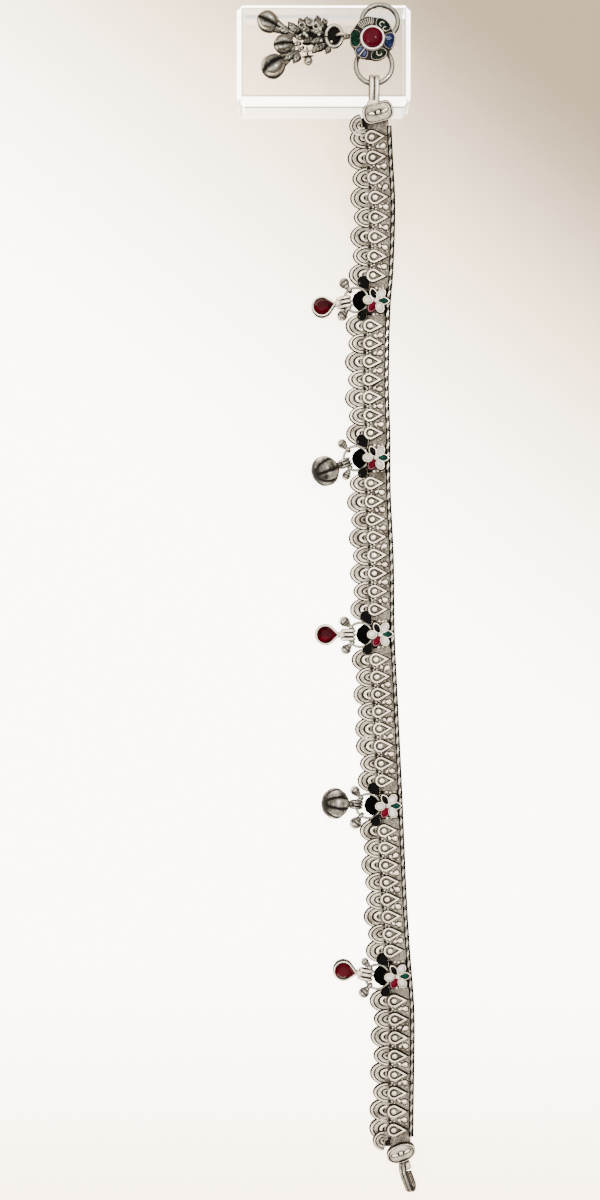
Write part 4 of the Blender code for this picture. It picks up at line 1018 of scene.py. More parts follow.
def station(index, along):
    place = on_band(along)
    post, ring_middle = hanger_centre()
    shape = Shape()
    add_plate(shape, place, random.Random(index))
    high = STATION_FLOWER_Z + 0.2 * MM
    for radius, across in ((PEDESTAL_RADIUS, STATION_SHIFT), (POST_RADIUS, post)):
        stem = rounded(2 * radius, 2 * radius, count=14)
        shape.raised(place @ at(across), stem, [(1.0, 0.5 * PLATE_THICK, 1.0), (1.0, high, 0.9)], high)
    flower = place @ at(STATION_SHIFT, 0.0, STATION_FLOWER_Z)
    rise = STATION_FLOWER_RISE
    rows = [(0.9, 0.0, 1.0), (1.0, 0.1 * rise, 1.0), (0.9, 0.35 * rise, 0.9)]
    shape.raised(flower, rounded(3.4 * MM, 3.4 * MM), rows, 0.4 * rise)
    rows = [(share, high * rise, depth) for share, high, depth in PETAL_ROWS]
    for angle, point, length, width, colour in STATION_PETALS:
        out = STATION_FLOWER_RADIUS - length * MM / 2
        seat = flower @ spun(angle) @ at(out)
        rim = PETAL_FINISHES.index("blush") if colour == "crimson" else 0
        finish = [0] + [rim] * 4 + [PETAL_FINISHES.index(colour)] * 4
        shape.raised(seat, rounded(length * MM, width * MM, point), rows, 0.92 * rise, finish)
    shape.grain(flower, 0.0, 0.0, 0.62 * rise, 0.55 * MM, 2, 14)
    finishes = [LIGHT_SILVER, GREEN, WHITE, BLACK, CRIMSON, BLUSH, SHADE_BLACK]
    made(f"station_{index + 1}", "flower", shape, finishes)
    shape = Shape()
    ring = on_band(along, ring_middle, HANGER_Z)
    shape.ring(ring, HANGER_RADIUS, 1.3 * HANGER_WIRE, sides=48, dark=0.9)
    made(f"hanger_ring_{index + 1}", "wire", shape, [DARK_SILVER])


# Drops


def small_bell(name, along, angle, radius):
    out = LOOP_RADIUS + LOOP_WIRE + radius - SINK
    place = drop_frame(along, angle, radius + LIFT, out)
    shape = Shape()
    profile = []
    rows = 14
    for k in range(rows + 1):
        t = pi * k / rows
        # Painted shade in the seam round the ball's middle and at both its ends
        seam = 0.9 if k == 7 else 0.0
        r = radius * sin(t) * (0.985 if k == 7 else 1.0)
        profile.append((out - radius * cos(t), r, seam + (0.6 if k > 12 or k < 2 else 0.12)))
    shape.turned(place, profile, 24, creases=2, depth=0.05, sharp=30.0)
    collar = Matrix.Translation((out - 0.92 * radius, 0, 0)) @ Matrix.Rotation(pi / 2, 4, "Y")
    shape.ring(place @ collar, 0.42 * radius, 0.13 * radius, sides=16, wire_sides=6, dark=0.5)
    loop_width = 2.2 * LOOP_WIRE
    shape.ring(place @ UPRIGHT, LOOP_RADIUS, LOOP_WIRE, None, 20, 8, loop_width, 0.1)
    swell = 0.72 * MM
    turns = [pi * k / 8 for k in range(9)]
    hood = [(LOOP_RADIUS - 0.4 * MM + swell * (1 - cos(t)), swell * sin(t), 0.0) for t in turns]
    shape.turned(place, hood, 14)
    made(name, "ball", shape, [DARK_SILVER])


def add_bail(shape, place, stretch, half_width):
    """Ribbed bail: a broad band folded round the ring."""
    turns, across = 30, 19
    shares = [2 * s / (across - 1) - 1 for s in range(across)]
    ribs = [abs(cos(1.5 * pi * share)) for share in shares]
    back = PEAR_BAIL_RADIUS - PEAR_BAIL_THICK / 2
    loops = []
    for k in range(turns + 1):
        t = 2 * pi * k / turns
        loop = []
        for share, rib in zip(shares, ribs):
            r = back + PEAR_BAIL_THICK * (0.2 + 0.8 * rib ** 0.5)
            loop.append((stretch * r * cos(t), half_width * share, r * sin(t)))
        for y in (0.95, -0.95):
            loop.append((0.87 * stretch * back * cos(t), y * half_width, back * sin(t)))
        loops.append(loop)
    # Painted shade in the grooves between the ribs and at the band's edges
    shade = [1.0 if rib < 0.5 else 0.5 - 0.5 * rib for rib in ribs] + [1.0, 1.0]
    shape.skin(place, loops, [shade] * len(loops))


def pear_drop(index, along, angle):
    start = PEAR_BAIL_RADIUS + PEAR_NECK_LENGTH
    low = LIFT - HANGER_Z
    high = low + PEAR_DEPTH
    floor = low + PEAR_FLOOR
    radius = PEAR_WIDTH / 2
    middle = start + PEAR_LENGTH - radius
    place = drop_frame(along, angle, HANGER_Z, start + PEAR_LENGTH)
    facing = place @ Matrix.Translation((middle, 0, 0)) @ Matrix.Rotation(pi, 4, "Z")
    outline = tear_outline(PEAR_WIDTH, PEAR_POINT, 44)
    inner = (radius - PEAR_WALL) / radius
    shape = Shape()
    rows = [
        (0.94, low, 1.0), (0.98, low + 0.1 * MM, 1.0), (1.0, low + 0.5 * MM, 1.0),
        (1.0, high - 0.6 * MM, 1.0), (0.975, high - 0.3 * MM, 1.0), (0.935, high - 0.08 * MM, 0.8),
        (0.915, high, 0.0), (inner + 0.05, high, 0.0), (inner + 0.02, high - 0.06 * MM, 0.3),
        (inner, high - 0.15 * MM, 1.0), (inner, floor, 1.0),
    ]
    shape.raised(facing, outline, rows, top=floor)
    add_bail(shape, place, 1.95, 1.05 * PEAR_BAIL_WIDTH)
    bail, thin = PEAR_BAIL_RADIUS, PEAR_NECK_RADIUS
    neck = [
        (bail - SINK, 0, 0.5), (bail, 2.0 * thin, 0.6), (bail + 0.4 * MM, 2.1 * thin, 0.1),
        (start, 1.9 * thin, 0.0), (start + 0.9 * MM, 1.3 * thin, 0.6), (start + 0.9 * MM + SINK, 0, 0.8),
    ]
    shape.turned(place, neck, 16)
    made(f"pear_bezel_{index + 1}", "setting", shape, [LIGHT_SILVER])
    # Table-cut stone with two rows of crown facets
    shape = Shape()
    girdle = inner - 0.005
    cut = tear_outline(PEAR_WIDTH, PEAR_POINT, 16)
    between = [((a + c) / 2, (b + d) / 2) for (a, b), (c, d) in zip(cut, cut[-1:] + cut[:-1])]
    rows = (
        (0.7 * girdle, floor + GAP, cut), (0.99 * girdle, high - 0.3 * MM, cut),
        (girdle, high - 0.1 * MM, cut), (0.84 * girdle, high + 0.5 * STONE_RISE, between),
        (0.62 * girdle, high + STONE_RISE, cut),
    )
    loops = [[(x * share, y * share, z) for x, y in points] for share, z, points in rows]
    shape.skin(facing, loops, 0.0, 0, (0, 0, floor + GAP), (0, 0, high + STONE_RISE))
    made(f"pear_stone_{index + 1}", "cut", shape, [CRIMSON_STONE], 6.0, False)


def bell_drop(index, along, angle):
    """A bud of long petals on a turned neck and a ribbed bail."""
    start = LOOP_RADIUS + LOOP_WIRE - SINK
    shoulder = start + BELL_NECK_LENGTH
    place = drop_frame(along, angle, BELL_RADIUS + LIFT, shoulder + 0.51 * BELL_LENGTH)
    shape = Shape()
    stem = [
        (-0.3, 0.0, 0.8), (-0.2, 1.3, 0.4), (0.05, 1.7, 0.0), (0.3, 1.3, 0.9), (0.55, 1.6, 0.0),
        (0.82, 1.4, 0.4),
    ]
    profile = [(start + BELL_NECK_LENGTH * a, BELL_NECK_RADIUS * r, d) for a, r, d in stem]
    rows = [
        (0.0, 0.3, 0.9), (0.04, 0.46, 0.6), (0.10, 0.6, 0.35), (0.19, 0.77, 0.1), (0.29, 0.91, 0.2),
        (0.42, 1.0, 0.35), (0.56, 0.995, 0.3), (0.65, 0.96, 0.1), (0.75, 0.87, 0.3), (0.84, 0.72, 0.5),
        (0.92, 0.49, 0.7), (0.97, 0.27, 0.9), (1.0, 0.0, 1.0),
    ]
    profile += [(shoulder + BELL_LENGTH * a, BELL_RADIUS * r, d) for a, r, d in rows]
    shape.turned(place, profile, 96, creases=8, depth=0.08, sharp=11.0, phase=0.7)
    add_bail(shape, place, 1.9, 1.0 * MM)
    made(f"bell_{index + 1}", "bud", shape, [BELL_SILVER])


# End caps


def cap_outline():
    outline = []
    for corner, (sx, sy) in enumerate(((1, 1), (-1, 1), (-1, -1), (1, -1))):
        for k in range(9):
            turn = pi / 2 * (corner + k / 8)
            x = sx * (CAP_WIDTH / 2 - CAP_CORNER) + CAP_CORNER * cos(turn)
            y = sy * (CAP_HEIGHT / 2 - CAP_CORNER) + CAP_CORNER * sin(turn)
            outline.append((x, y))
    return outline


def add_cap(shape, place, oval):
    outline = cap_outline() if not oval else rounded(CAP_WIDTH, CAP_HEIGHT, -0.12, 36)
    rim = 1 - 2 * CAP_RIM / (CAP_WIDTH + CAP_HEIGHT) * 1.25
    face = CAP_THICK - CAP_RECESS
    rows = [
        (0.97, LIFT, 1.0), (1.0, 0.15 * CAP_THICK, 1.0), (1.01, 0.6 * CAP_THICK, 1.0),
        (1.01, CAP_THICK - 0.25 * MM, 1.0), (0.99, CAP_THICK - 0.08 * MM, 0.3), (0.96, CAP_THICK, 0.0),
        (rim + 0.02, CAP_THICK, 0.0), (rim, CAP_THICK - 0.06 * MM, 0.8), (rim - 0.02, face, 1.0),
        (rim - 0.055, face, 1.0), (rim - 0.09, face, 0.3), (0.5, face + 0.02 * MM, 0.25),
    ]
    shape.raised(place, outline, rows, face + 0.03 * MM)
    # Plain ornament: a seed between two small leaves
    rows = [(1.3, 0.03, 1.0), (1.05, 0.04, 1.0), (0.95, 0.1, 0.3), (0.7, 0.16, 0.0)]
    rows = [(share, face + high * MM, depth) for share, high, depth in rows]
    shape.raised(place, rounded(0.9 * MM, 0.9 * MM), rows, face + 0.18 * MM)
    for side in (-1, 1):
        leaf = rounded(1.5 * MM, 0.75 * MM, 0.5)
        seat = place @ at(side * 1.45 * MM, 0.0, 0.0, side * 14)
        shape.raised(seat, leaf, rows, face + 0.18 * MM)
    # Grained side band under the rim
    for x, y in outline:
        shape.grain(place, 0.985 * x, 0.985 * y, 0.35 * CAP_THICK, 0.13 * MM, 0, 5)


def smoothed(points, count=5):
    """More points along a path, on a curve through them."""
    points = [Vector(point) for point in points]
    found = []
    for i in range(len(points) - 1):
        p0, p1, p2, p3 = (points[max(0, min(len(points) - 1, i + k))] for k in (-1, 0, 1, 2))
        for k in range(count):
            u = k / count
            found.append(0.5 * (
                2 * p1 + (p2 - p0) * u + (2 * p0 - 5 * p1 + 4 * p2 - p3) * u**2
                + (3 * p1 - p0 - 3 * p2 + p3) * u**3
            ))
    return found + [points[-1]]


def paint_flank_shade(shape, first, back, middle, half, strength=1.0):
    """Paints shade on a wire's points, from number first on, darker the further across they are from its
    middle.
    """
    for i in range(first, len(shape.points)):
        away = abs((back @ Vector(shape.points[i])).x - middle) / half
        shape.patina_and_shade[i] = min(1.0, away ** 2 * strength)


def upper_cap():
    place = on_band(0.0, CAP_SHIFT)
    shape = Shape()
    add_cap(shape, place @ spun(UPPER_CAP_TURN), False)
    hold = Vector((LOWER_RING_X, LOWER_RING_Y - RING_RADIUS, RING_Z))
    root = place @ Vector((0, 0.25 * CAP_HEIGHT, 0.55 * CAP_THICK))
    bend = RING_WIRE + GAP + BAIL_SLACK + BAIL_WIRE_FLAT
    turns = [pi / 2 - pi * k / 12 for k in range(13)]
    fold = [(hold.y + bend * cos(t), hold.z + bend * sin(t)) for t in turns]
    over = hold.lerp(root, 0.55)
    path = [(root.y, root.z + BAIL_FOOT_SPREAD), (over.y, over.z + 0.92 * bend), *fold]
    path += [(over.y, over.z - 0.95 * bend), (root.y, root.z - BAIL_FOOT_SPREAD)]
    for side in (-1, 1):
        wire = []
        for k, (y, z) in enumerate(path):
            # The wires part a little towards their feet
            part = 0.16 * MM if k in (0, len(path) - 1) else 0.0
            wire.append((hold.x + side * (BAIL_SPREAD + part), y, z))
        first = len(shape.points)
        across = 0.9 * BAIL_WIRE_WIDE
        shape.tube(HERE, smoothed(wire, 4), BAIL_WIRE_FLAT, 14, across=across, dark=0.0)
        paint_flank_shade(shape, first, HERE, wire[2][0], BAIL_WIRE_WIDE, 1.1)
    collar = rounded(2.9 * MM, 1.5 * MM)
    rows = [(1.0, 0.2 * CAP_THICK, 1.0), (1.0, 0.7 * CAP_THICK, 0.6), (0.9, 0.85 * CAP_THICK, 0.1)]
    seat = place @ at(hold.x - place.translation.x, CAP_HEIGHT / 2 - 0.2 * MM)
    shape.raised(seat, collar, rows, 0.9 * CAP_THICK)
    made("end_cap_upper", "cast", shape, [LIGHT_SILVER])


def lower_cap():
    place = on_band(BAND_LENGTH, CAP_SHIFT) @ spun(LOWER_CAP_TURN)
    shape = Shape()
    add_cap(shape, place, True)
    root = -CAP_HEIGHT / 2
    side = STUB_WIDTH / 2
    low = 0.35 * CAP_THICK
    stub_end = root - STUB_LENGTH
    middle, half = (CAP_THICK + low) / 2, (CAP_THICK - low) / 2
    loops = []
    for y, grow in (
        (root + STUB_ROOT, 0.95), (root - 0.2 * MM, 0.92), (root - 0.5 * MM, 1.0),
        (stub_end + 0.3 * MM, 1.0), (stub_end, 0.86),
    ):
        box = []
        for k in range(16):
            t = 2 * pi * (k + 0.5) / 16
            x = side * grow * eased(cos(t), 0.45)
            box.append((x, y, middle + half * grow * eased(sin(t), 0.45)))
        loops.append(box)
    start, end = (0, root, CAP_THICK / 2), (0, stub_end, CAP_THICK * 0.65)
    shape.skin(place, loops, (0.9, 0.8, 0.15, 0.1, 0.7), 0, start, end)
    end = HOOK_BEND + HOOK_WIRE - HOOK_REACH
    lean = radians(HOOK_LEAN)
    rise = LIFT + HOOK_WIRE + HOOK_BEND * cos(lean) + HOOK_SPREAD * sin(lean)
    turns = [pi / 2 + pi * k / 12 for k in range(13)]
    path = [(root, 0.6 * CAP_THICK - rise), (stub_end, HOOK_BEND)]
    path += [(end + HOOK_BEND * cos(t), HOOK_BEND * sin(t)) for t in turns]
    path += [(stub_end - HOOK_MOUTH, -HOOK_BEND)]
    hook = place @ Matrix.Translation((-0.5 * HOOK_BEND, 0, rise)) @ Matrix.Rotation(-lean, 4, "Y")
    for across in (-HOOK_SPREAD, HOOK_SPREAD):
        wire = smoothed([(across, y, z) for y, z in path], 3)
        first = len(shape.points)
        shape.tube(hook, wire, HOOK_WIRE, 12, dark=0.0, finish=1)
        paint_flank_shade(shape, first, hook.inverted(), across, HOOK_WIRE)
    made("end_cap_lower", "cast", shape, [LIGHT_SILVER, DARK_SILVER])


# Clasp


# Middle angle, half-width in degrees, outer radius in mm and enamel of each petal
CLASP_PETALS = [
    (180.0, 30.0, 4.72, "emerald"),
    (112.0, 27.0, 4.7, "grey"),
    (52.0, 27.0, 4.72, "bottle"),
    (-8.0, 27.0, 4.72, "blue"),
    (-68.0, 27.0, 4.7, "moss"),
    (232.0, 22.0, 4.72, "violet"),
]
CLASP_FINISHES = ["silver", "black", "emerald", "grey", "bottle", "blue", "moss", "violet", "pale"]
# Share of the outline, share of the flower's thickness and crease of an enamelled cell
CELL_ROWS = [
    (1.0, 0.5, 1.0), (1.0, 0.9, 1.0), (0.97, 1.01, 1.0), (0.95, 1.03, 0.3), (0.91, 1.03, 0.3),
    (0.895, 0.97, 1.0), (0.87, 0.94, 0.4), (0.65, 0.98, 0.0), (0.35, 1.03, 0.0),
]


def add_petal(shape, place, middle, half, reach, finish):
    """One enamelled cell: a silver edge, a fine dark line and the enamel a little domed."""
    low, high = BEZEL_RADIUS + 0.04 * MM, reach * MM
    outline = []
    for t in full_turn(28):
        u, v = eased(cos(t), 0.62), eased(sin(t), 0.62)
        r = (low + high) / 2 + (high - low) / 2 * v
        # A petal is wider at its outer edge, whose middle bulges
        r += 0.16 * MM * v * (1 - u * u)
        turn = radians(middle + half * u)
        outline.append((r * cos(turn), r * sin(turn)))
    cx = sum(p[0] for p in outline) / len(outline)
    cy = sum(p[1] for p in outline) / len(outline)
    rows = [(share, high * FLOWER_THICK, depth) for share, high, depth in CELL_ROWS]
    shape.raised(place, outline, rows, 1.04 * FLOWER_THICK, [0] * 5 + [finish] * 4, (cx, cy))
    return cx, cy


def add_wire_line(shape, place, points, radius=0.07 * MM, finish=0):
    points = [(x, y, FLOWER_THICK * 1.03) for x, y in points]
    shape.tube(place, points, radius, 6, dark=0.1, finish=finish)


def arc(cx, cy, radius, start, end, count=9):
    turns = [radians(start + (end - start) * k / (count - 1)) for k in range(count)]
    return [(cx + radius * cos(t), cy + radius * sin(t)) for t in turns]


def spoke(angle, reaches):
    """A line out from the flower's middle, through distances in mm."""
    turn = radians(angle)
    return [(r * MM * cos(turn), r * MM * sin(turn)) for r in reaches]


def add_enamel_wires(shape, seat, centres):
    """Fine wires laid in the enamel of the petals."""
    for k in range(-3, 4):
        add_wire_line(shape, seat, spoke(112 + 6.5 * k, (3.05, 3.7, 4.4)), 0.055 * MM)
    cx, cy = centres["bottle"]
    add_wire_line(shape, seat, arc(cx - 0.1 * MM, cy + 0.25 * MM, 0.5 * MM, 20, 250))
    add_wire_line(shape, seat, arc(cx + 0.55 * MM, cy - 0.75 * MM, 0.42 * MM, 60, 290))
    cx, cy = centres["blue"]
    for radius in (0.45, 0.72, 0.98):
        line = arc(cx - 0.1 * MM, cy - 0.2 * MM, radius * MM, 35, 125)
        add_wire_line(shape, seat, line, 0.075 * MM, 8)
    add_wire_line(shape, seat, spoke(233, (2.9, 3.7, 4.6)), 0.09 * MM)
    for k in (-13, -9, 9, 13):
        add_wire_line(shape, seat, spoke(232 + k, (3.2, 3.8, 4.25)), 0.05 * MM, 8)
    cx, cy = centres["moss"]
    add_wire_line(shape, seat, arc(cx + 0.15 * MM, cy + 0.05 * MM, 0.55 * MM, 150, 350))
    cx, cy = centres["emerald"]
    high = 1.1 * MM
    for k in (-0.35, 0.05, 0.4):
        line = [(cx + k * MM, cy - high), (cx + (k - 0.08) * MM, cy), (cx + k * MM, cy + high)]
        add_wire_line(shape, seat, line, 0.04 * MM, 2)


def add_staple_and_eye(shape):
    """The staple that holds both big rings, and the side eye and arm that hold the charm."""
    room = RING_WIRE + GAP + STAPLE_SLACK + STAPLE_WIRE
    x = (UPPER_RING_X + LOWER_RING_X) / 2
    down, up = LOWER_RING_START - room, UPPER_RING_START + room
    base, inside, bend = TOP + STAPLE_WIRE, FLOWER_Z + 0.2 * FLOWER_THICK, STAPLE_BEND
    staple = [
        (x, down, inside), (x, down, base + bend), (x, down + bend, base),
        (x, up - bend, base), (x, up, base + bend), (x, up, inside),
    ]
    shape.tube(HERE, staple, STAPLE_WIRE, 12, dark=0.4)
    eye_x = CHARM_RING_X + CHARM_RING_HALF_WIDTH
    eye = at(eye_x, CHARM_RING_Y, CHARM_Z) @ UPRIGHT
    shape.ring(eye, EYE_RADIUS, EYE_WIRE, sides=32, dark=0.3)
    near = (eye_x + EYE_RADIUS, CHARM_RING_Y, CHARM_Z)
    far = (FLOWER_X - 0.85 * FLOWER_RADIUS, CHARM_RING_Y, FLOWER_Z + 0.3 * FLOWER_THICK)
    shape.tube(HERE, [near, far], ARM_WIRE, 12, dark=0.3)
    shape.grain(at(*near), 0, 0, 0, 0.55 * MM, 0, 12)


def clasp_flower():
    seat = at(FLOWER_X, FLOWER_Y, FLOWER_Z)
    shape = Shape()
    outline = []
    for k in range(72):
        turn = 360 * k / 72
        near = min(abs((turn - middle + 180) % 360 - 180) for middle, *_ in CLASP_PETALS)
        r = FLOWER_RADIUS * (1.0 - 0.055 * min(1.0, near / 30) ** 2)
        outline.append((r * cos(radians(turn)), r * sin(radians(turn))))
    top = FLOWER_THICK
    rows = [
        (0.90, 0.0, 1.0), (0.95, 0.1 * top, 0.6), (0.97, 0.42 * top, 0.15), (0.965, 0.5 * top, 0.9),
        (1.0, 0.62 * top, 0.9), (1.0, 0.86 * top, 0.9), (0.99, 0.92 * top, 1.0), (0.6, 0.9 * top, 1.0),
    ]
    shape.raised(seat, outline, rows, 0.9 * top, [0] * 6 + [1, 1])
    centres = {}
    for middle, half, reach, colour in CLASP_PETALS:
        centres[colour] = add_petal(shape, seat, middle, half, reach, CLASP_FINISHES.index(colour))
    add_enamel_wires(shape, seat, centres)
    # Bezel with a smooth pale edge
    low, high = BEZEL_RADIUS, FLOWER_THICK + BEZEL_RISE
    wall = (BEZEL_RADIUS - BEZEL_WALL - 0.08 * MM) / low
    rows = [
        (1.06, 0.7 * top, 1.0), (1.04, 0.98 * top, 1.0), (1.0, 1.02 * top, 0.35),
        (0.99, high - 0.1 * MM, 0.0), (0.95, high, 0.0), (wall + 0.03, high, 0.0),
        (wall, high - 0.1 * MM, 0.8), (wall, 0.5 * top, 1.0),
    ]
    rim = rounded(2 * low, 2 * low, count=48)
    shape.raised(seat, rim, rows, 0.5 * top, [0, 0, 9, 9, 9, 9, 0, 0])
    # Grained tip at the right
    for k in range(7):
        turn = radians(-14 + 4.6 * k)
        for out, z in ((0.985, 0.45), (0.99, 0.8)):
            x, y = out * FLOWER_RADIUS * cos(turn), out * FLOWER_RADIUS * sin(turn)
            shape.grain(seat, x, y, z * top, 0.2 * MM, 0, 6)
    add_staple_and_eye(shape)
    finishes = [LIGHT_SILVER, BLACK, EMERALD, GREY_ENAMEL, BOTTLE, BLUE, MOSS, VIOLET, PALE, BEZEL_EDGE]
    made("clasp_flower", "enamelled", shape, finishes)


def clasp_stone():
    shape = Shape()
    radius = BEZEL_RADIUS - BEZEL_WALL - 0.1 * MM
    base = 0.5 * FLOWER_THICK + GAP
    wall = 0.5 * FLOWER_THICK + BEZEL_RISE - GAP
    rows = [(1.0, 0.0, 0.0), (1.0, wall - 0.1 * MM, 0.0)]
    for k in range(1, 12):
        t = pi / 2 * k / 12
        rows.append((cos(t), wall + (CABOCHON_RISE - wall) * sin(t), 0.0))
    dome = at(FLOWER_X, FLOWER_Y, FLOWER_Z) @ at(0, 0, base)
    shape.raised(dome, rounded(2 * radius, 2 * radius, count=48), rows, CABOCHON_RISE)
    made("clasp_stone", "dome", shape, [CABOCHON], rubbed=False)


def clasp_rings():
    fall = RING_Z - (TOP + RING_WIRE)
    tilt = asin(fall / (2 * RING_RADIUS))
    hinge = Matrix.Translation((UPPER_RING_X, UPPER_RING_START, RING_Z)) @ Matrix.Rotation(-tilt, 4, "X")
    upper, lower = hinge @ at(0, RING_RADIUS), at(LOWER_RING_X, LOWER_RING_Y, RING_Z)
    for name, place in (("ring_upper", upper), ("ring_lower", lower)):
        shape = Shape()
        shape.ring(place, RING_RADIUS, RING_WIRE, sides=72, wire_sides=16, dark=0.85)
        made(name, "wire", shape, [DARK_SILVER])


# Charm


# Cast leaves of the charm's head, in mm from the ring's centre: place, heading, length, width, height
HEAD_LEAVES = [
    (-2.0, 1.6, 150, 3.4, 1.5, 1.1), (-2.2, 0.5, 170, 3.6, 1.4, 1.2), (-2.2, -0.7, 195, 3.4, 1.3, 1.1),
    (-1.9, -1.7, 215, 3.0, 1.3, 1.0), (-4.4, 1.9, 135, 2.8, 1.5, 1.5), (-5.0, 0.7, 160, 3.2, 1.6, 1.6),
    (-4.6, -0.6, 205, 2.6, 1.4, 1.4), (-6.6, 2.0, 120, 2.2, 1.3, 1.4), (-7.2, 1.0, 175, 2.4, 1.4, 1.3),
    (-0.9, -2.2, 240, 1.9, 1.1, 0.8), (-3.2, -2.0, 225, 2.4, 1.2, 0.8), (-6.0, 2.7, 80, 1.6, 1.1, 1.2),
    (-3.4, 2.8, 100, 1.8, 1.2, 1.0), (-1.6, 2.4, 120, 1.8, 1.0, 0.9),
]
# Place and radius in mm of the grains among them
HEAD_GRAINS = [
    (-5.5, 3.1, 0.55), (-4.7, 2.7, 0.45), (-3.9, 2.4, 0.5), (-6.9, 3.0, 0.4), (-3.0, 1.2, 0.45),
    (-3.3, 0.0, 0.4), (-5.9, -0.2, 0.45), (-1.7, -0.1, 0.35), (-6.4, 0.2, 0.5), (-7.7, 2.0, 0.4),
    (-2.8, -1.3, 0.4), (-0.6, -1.5, 0.35),
]
# Outline in mm of the dark bed of painted shade under them
HEAD_SHADE_BED = [
    (-0.8, 2.1), (-2.6, 3.0), (-5.0, 3.7), (-7.4, 3.4), (-8.6, 2.2), (-8.2, 0.8), (-6.6, -0.4),
    (-4.6, -1.5), (-3.0, -2.3), (-1.2, -2.6), (-0.6, -1.4), (-1.3, 0.0),
]
# Number, sharpness and place of the grooves of each of the charm's bells
BELL_GROOVES = [(4, 8.0, 0.5), (3, 10.0, 1.1), (2, 14.0, 1.5), (0, 1.0, 0)]
# Distance along the bell and radius, as shares of the bell's radius, and crease
CHARM_BELL_ROWS = [
    (0.02, 0.62, 0.9), (0.10, 0.70, 0.1), (0.20, 0.78, 0.0), (0.30, 0.84, 0.1), (0.45, 0.91, 0.0),
    (0.65, 0.97, 0.0), (0.85, 1.0, 0.0), (1.0, 1.0, 0.0), (1.1, 0.99, 0.1), (1.2, 0.97, 0.0),
    (1.4, 0.88, 0.0), (1.6, 0.72, 0.05), (1.78, 0.5, 0.2), (1.9, 0.28, 0.6), (1.97, 0.0, 0.9),
]
CHARM_SEAT = Vector((CHARM_RING_X, CHARM_RING_Y, CHARM_Z))
CHARM_BAR_CENTRE = CHARM_SEAT - Vector((CHARM_BAR_LEFT, CHARM_BAR_BELOW, 0))


def add_ribbed_leaf(shape, place, length, width, height):
    """A cast leaf with a midrib and side ribs."""
    along, across = 12, 10
    loops, shades = [], []
    for i in range(along + 1):
        u = i / along
        half = width / 2 * sin(pi * u ** 0.8) + 0.04 * MM
        loop, shade = [], []
        for j in range(across + 1):
            v = 2 * j / across - 1
            rib = abs(sin(pi * (4 * u - 1.2 * abs(v))))
            z = height * (0.55 + 0.45 * sin(pi * u)) * (1 - 0.75 * v * v) * (0.86 + 0.14 * rib)
            loop.append((length * u, half * v, z))
            # Painted shade at the leaf's edges, on its midrib and between its ribs
            edge = 1.0 if abs(v) > 0.75 else 0.5 if abs(v) < 0.05 else 0.0
            shade.append(min(1.0, 1.1 * (1 - rib) ** 1.5 + edge))
        loop += [(length * u, half * 0.9, 0.0), (length * u, -half * 0.9, 0.0)]
        loops.append(loop)
        shades.append(shade + [1.0, 1.0])
    shape.skin(place, loops, shades, start=(0, 0, 0.3 * height), end=(length, 0, 0.3 * height))


def on_bar(turn):
    return CHARM_BAR_CENTRE + CHARM_BAR_RADIUS * Vector((cos(turn), sin(turn), 0))


def charm_head():
    place = at(*CHARM_SEAT)
    shape = Shape()
    wide, high = CHARM_RING_HALF_WIDTH, CHARM_RING_HALF_HEIGHT
    shape.ring(place, wide, CHARM_RING_WIRE, high, 40, 12, dark=0.9)
    # Black plate of painted shade inside the ring, where the hole shows dark
    rows = [(1.0, -0.35 * MM, 1.0), (1.0, -0.15 * MM, 1.0)]
    shape.raised(place, rounded(1.8 * wide, 1.8 * high), rows, -0.15 * MM)
    shade_bed = [(x * MM, y * MM) for x, y in HEAD_SHADE_BED]
    foot = TOP - CHARM_Z
    rows = [(0.97, foot + LIFT, 1.0), (1.0, foot + 0.5 * MM, 1.0), (0.94, 0.1 * MM, 1.0)]
    shape.raised(place, shade_bed, rows, 0.5 * MM, 0, (-4.0 * MM, 0.8 * MM))
    for x, y, heading, length, width, height in HEAD_LEAVES:
        seat = at(CHARM_SEAT.x + x * MM, CHARM_SEAT.y + y * MM, CHARM_SEAT.z - 0.3 * MM, heading)
        add_ribbed_leaf(shape, seat, 0.95 * length * MM, 1.3 * width * MM, (height + 0.25) * MM)
    for x, y, r in HEAD_GRAINS:
        shape.grain(place, x * MM, y * MM, 0.55 * MM, r * MM, 0, 10)
    # Scrolls at the head's upper left and the half-round rim over the middle bell
    for x, y, r, wire in ((-5.2, 2.6, 0.75, 0.2), (-6.9, 1.9, 0.6, 0.2), (-3.9, 1.7, 0.6, 0.18)):
        seat = at(CHARM_SEAT.x + x * MM, CHARM_SEAT.y + y * MM, CHARM_SEAT.z + 0.95 * MM)
        shape.ring(seat, r * MM, wire * MM, sides=20, wire_sides=8, dark=0.6)
    bar = [on_bar(radians(angle)) for angle in range(90, 311, 10)]
    root = 0.45 * CHARM_BAR_RADIUS
    bar = [bar[0] + Vector((root, root / 3, 0)), *bar, bar[-1] + Vector((root, root, 0))]
    shape.tube(HERE, bar, CHARM_BAR_WIRE, 10, dark=0.4)
    made("charm_head", "cast", shape, [CAST_SILVER])


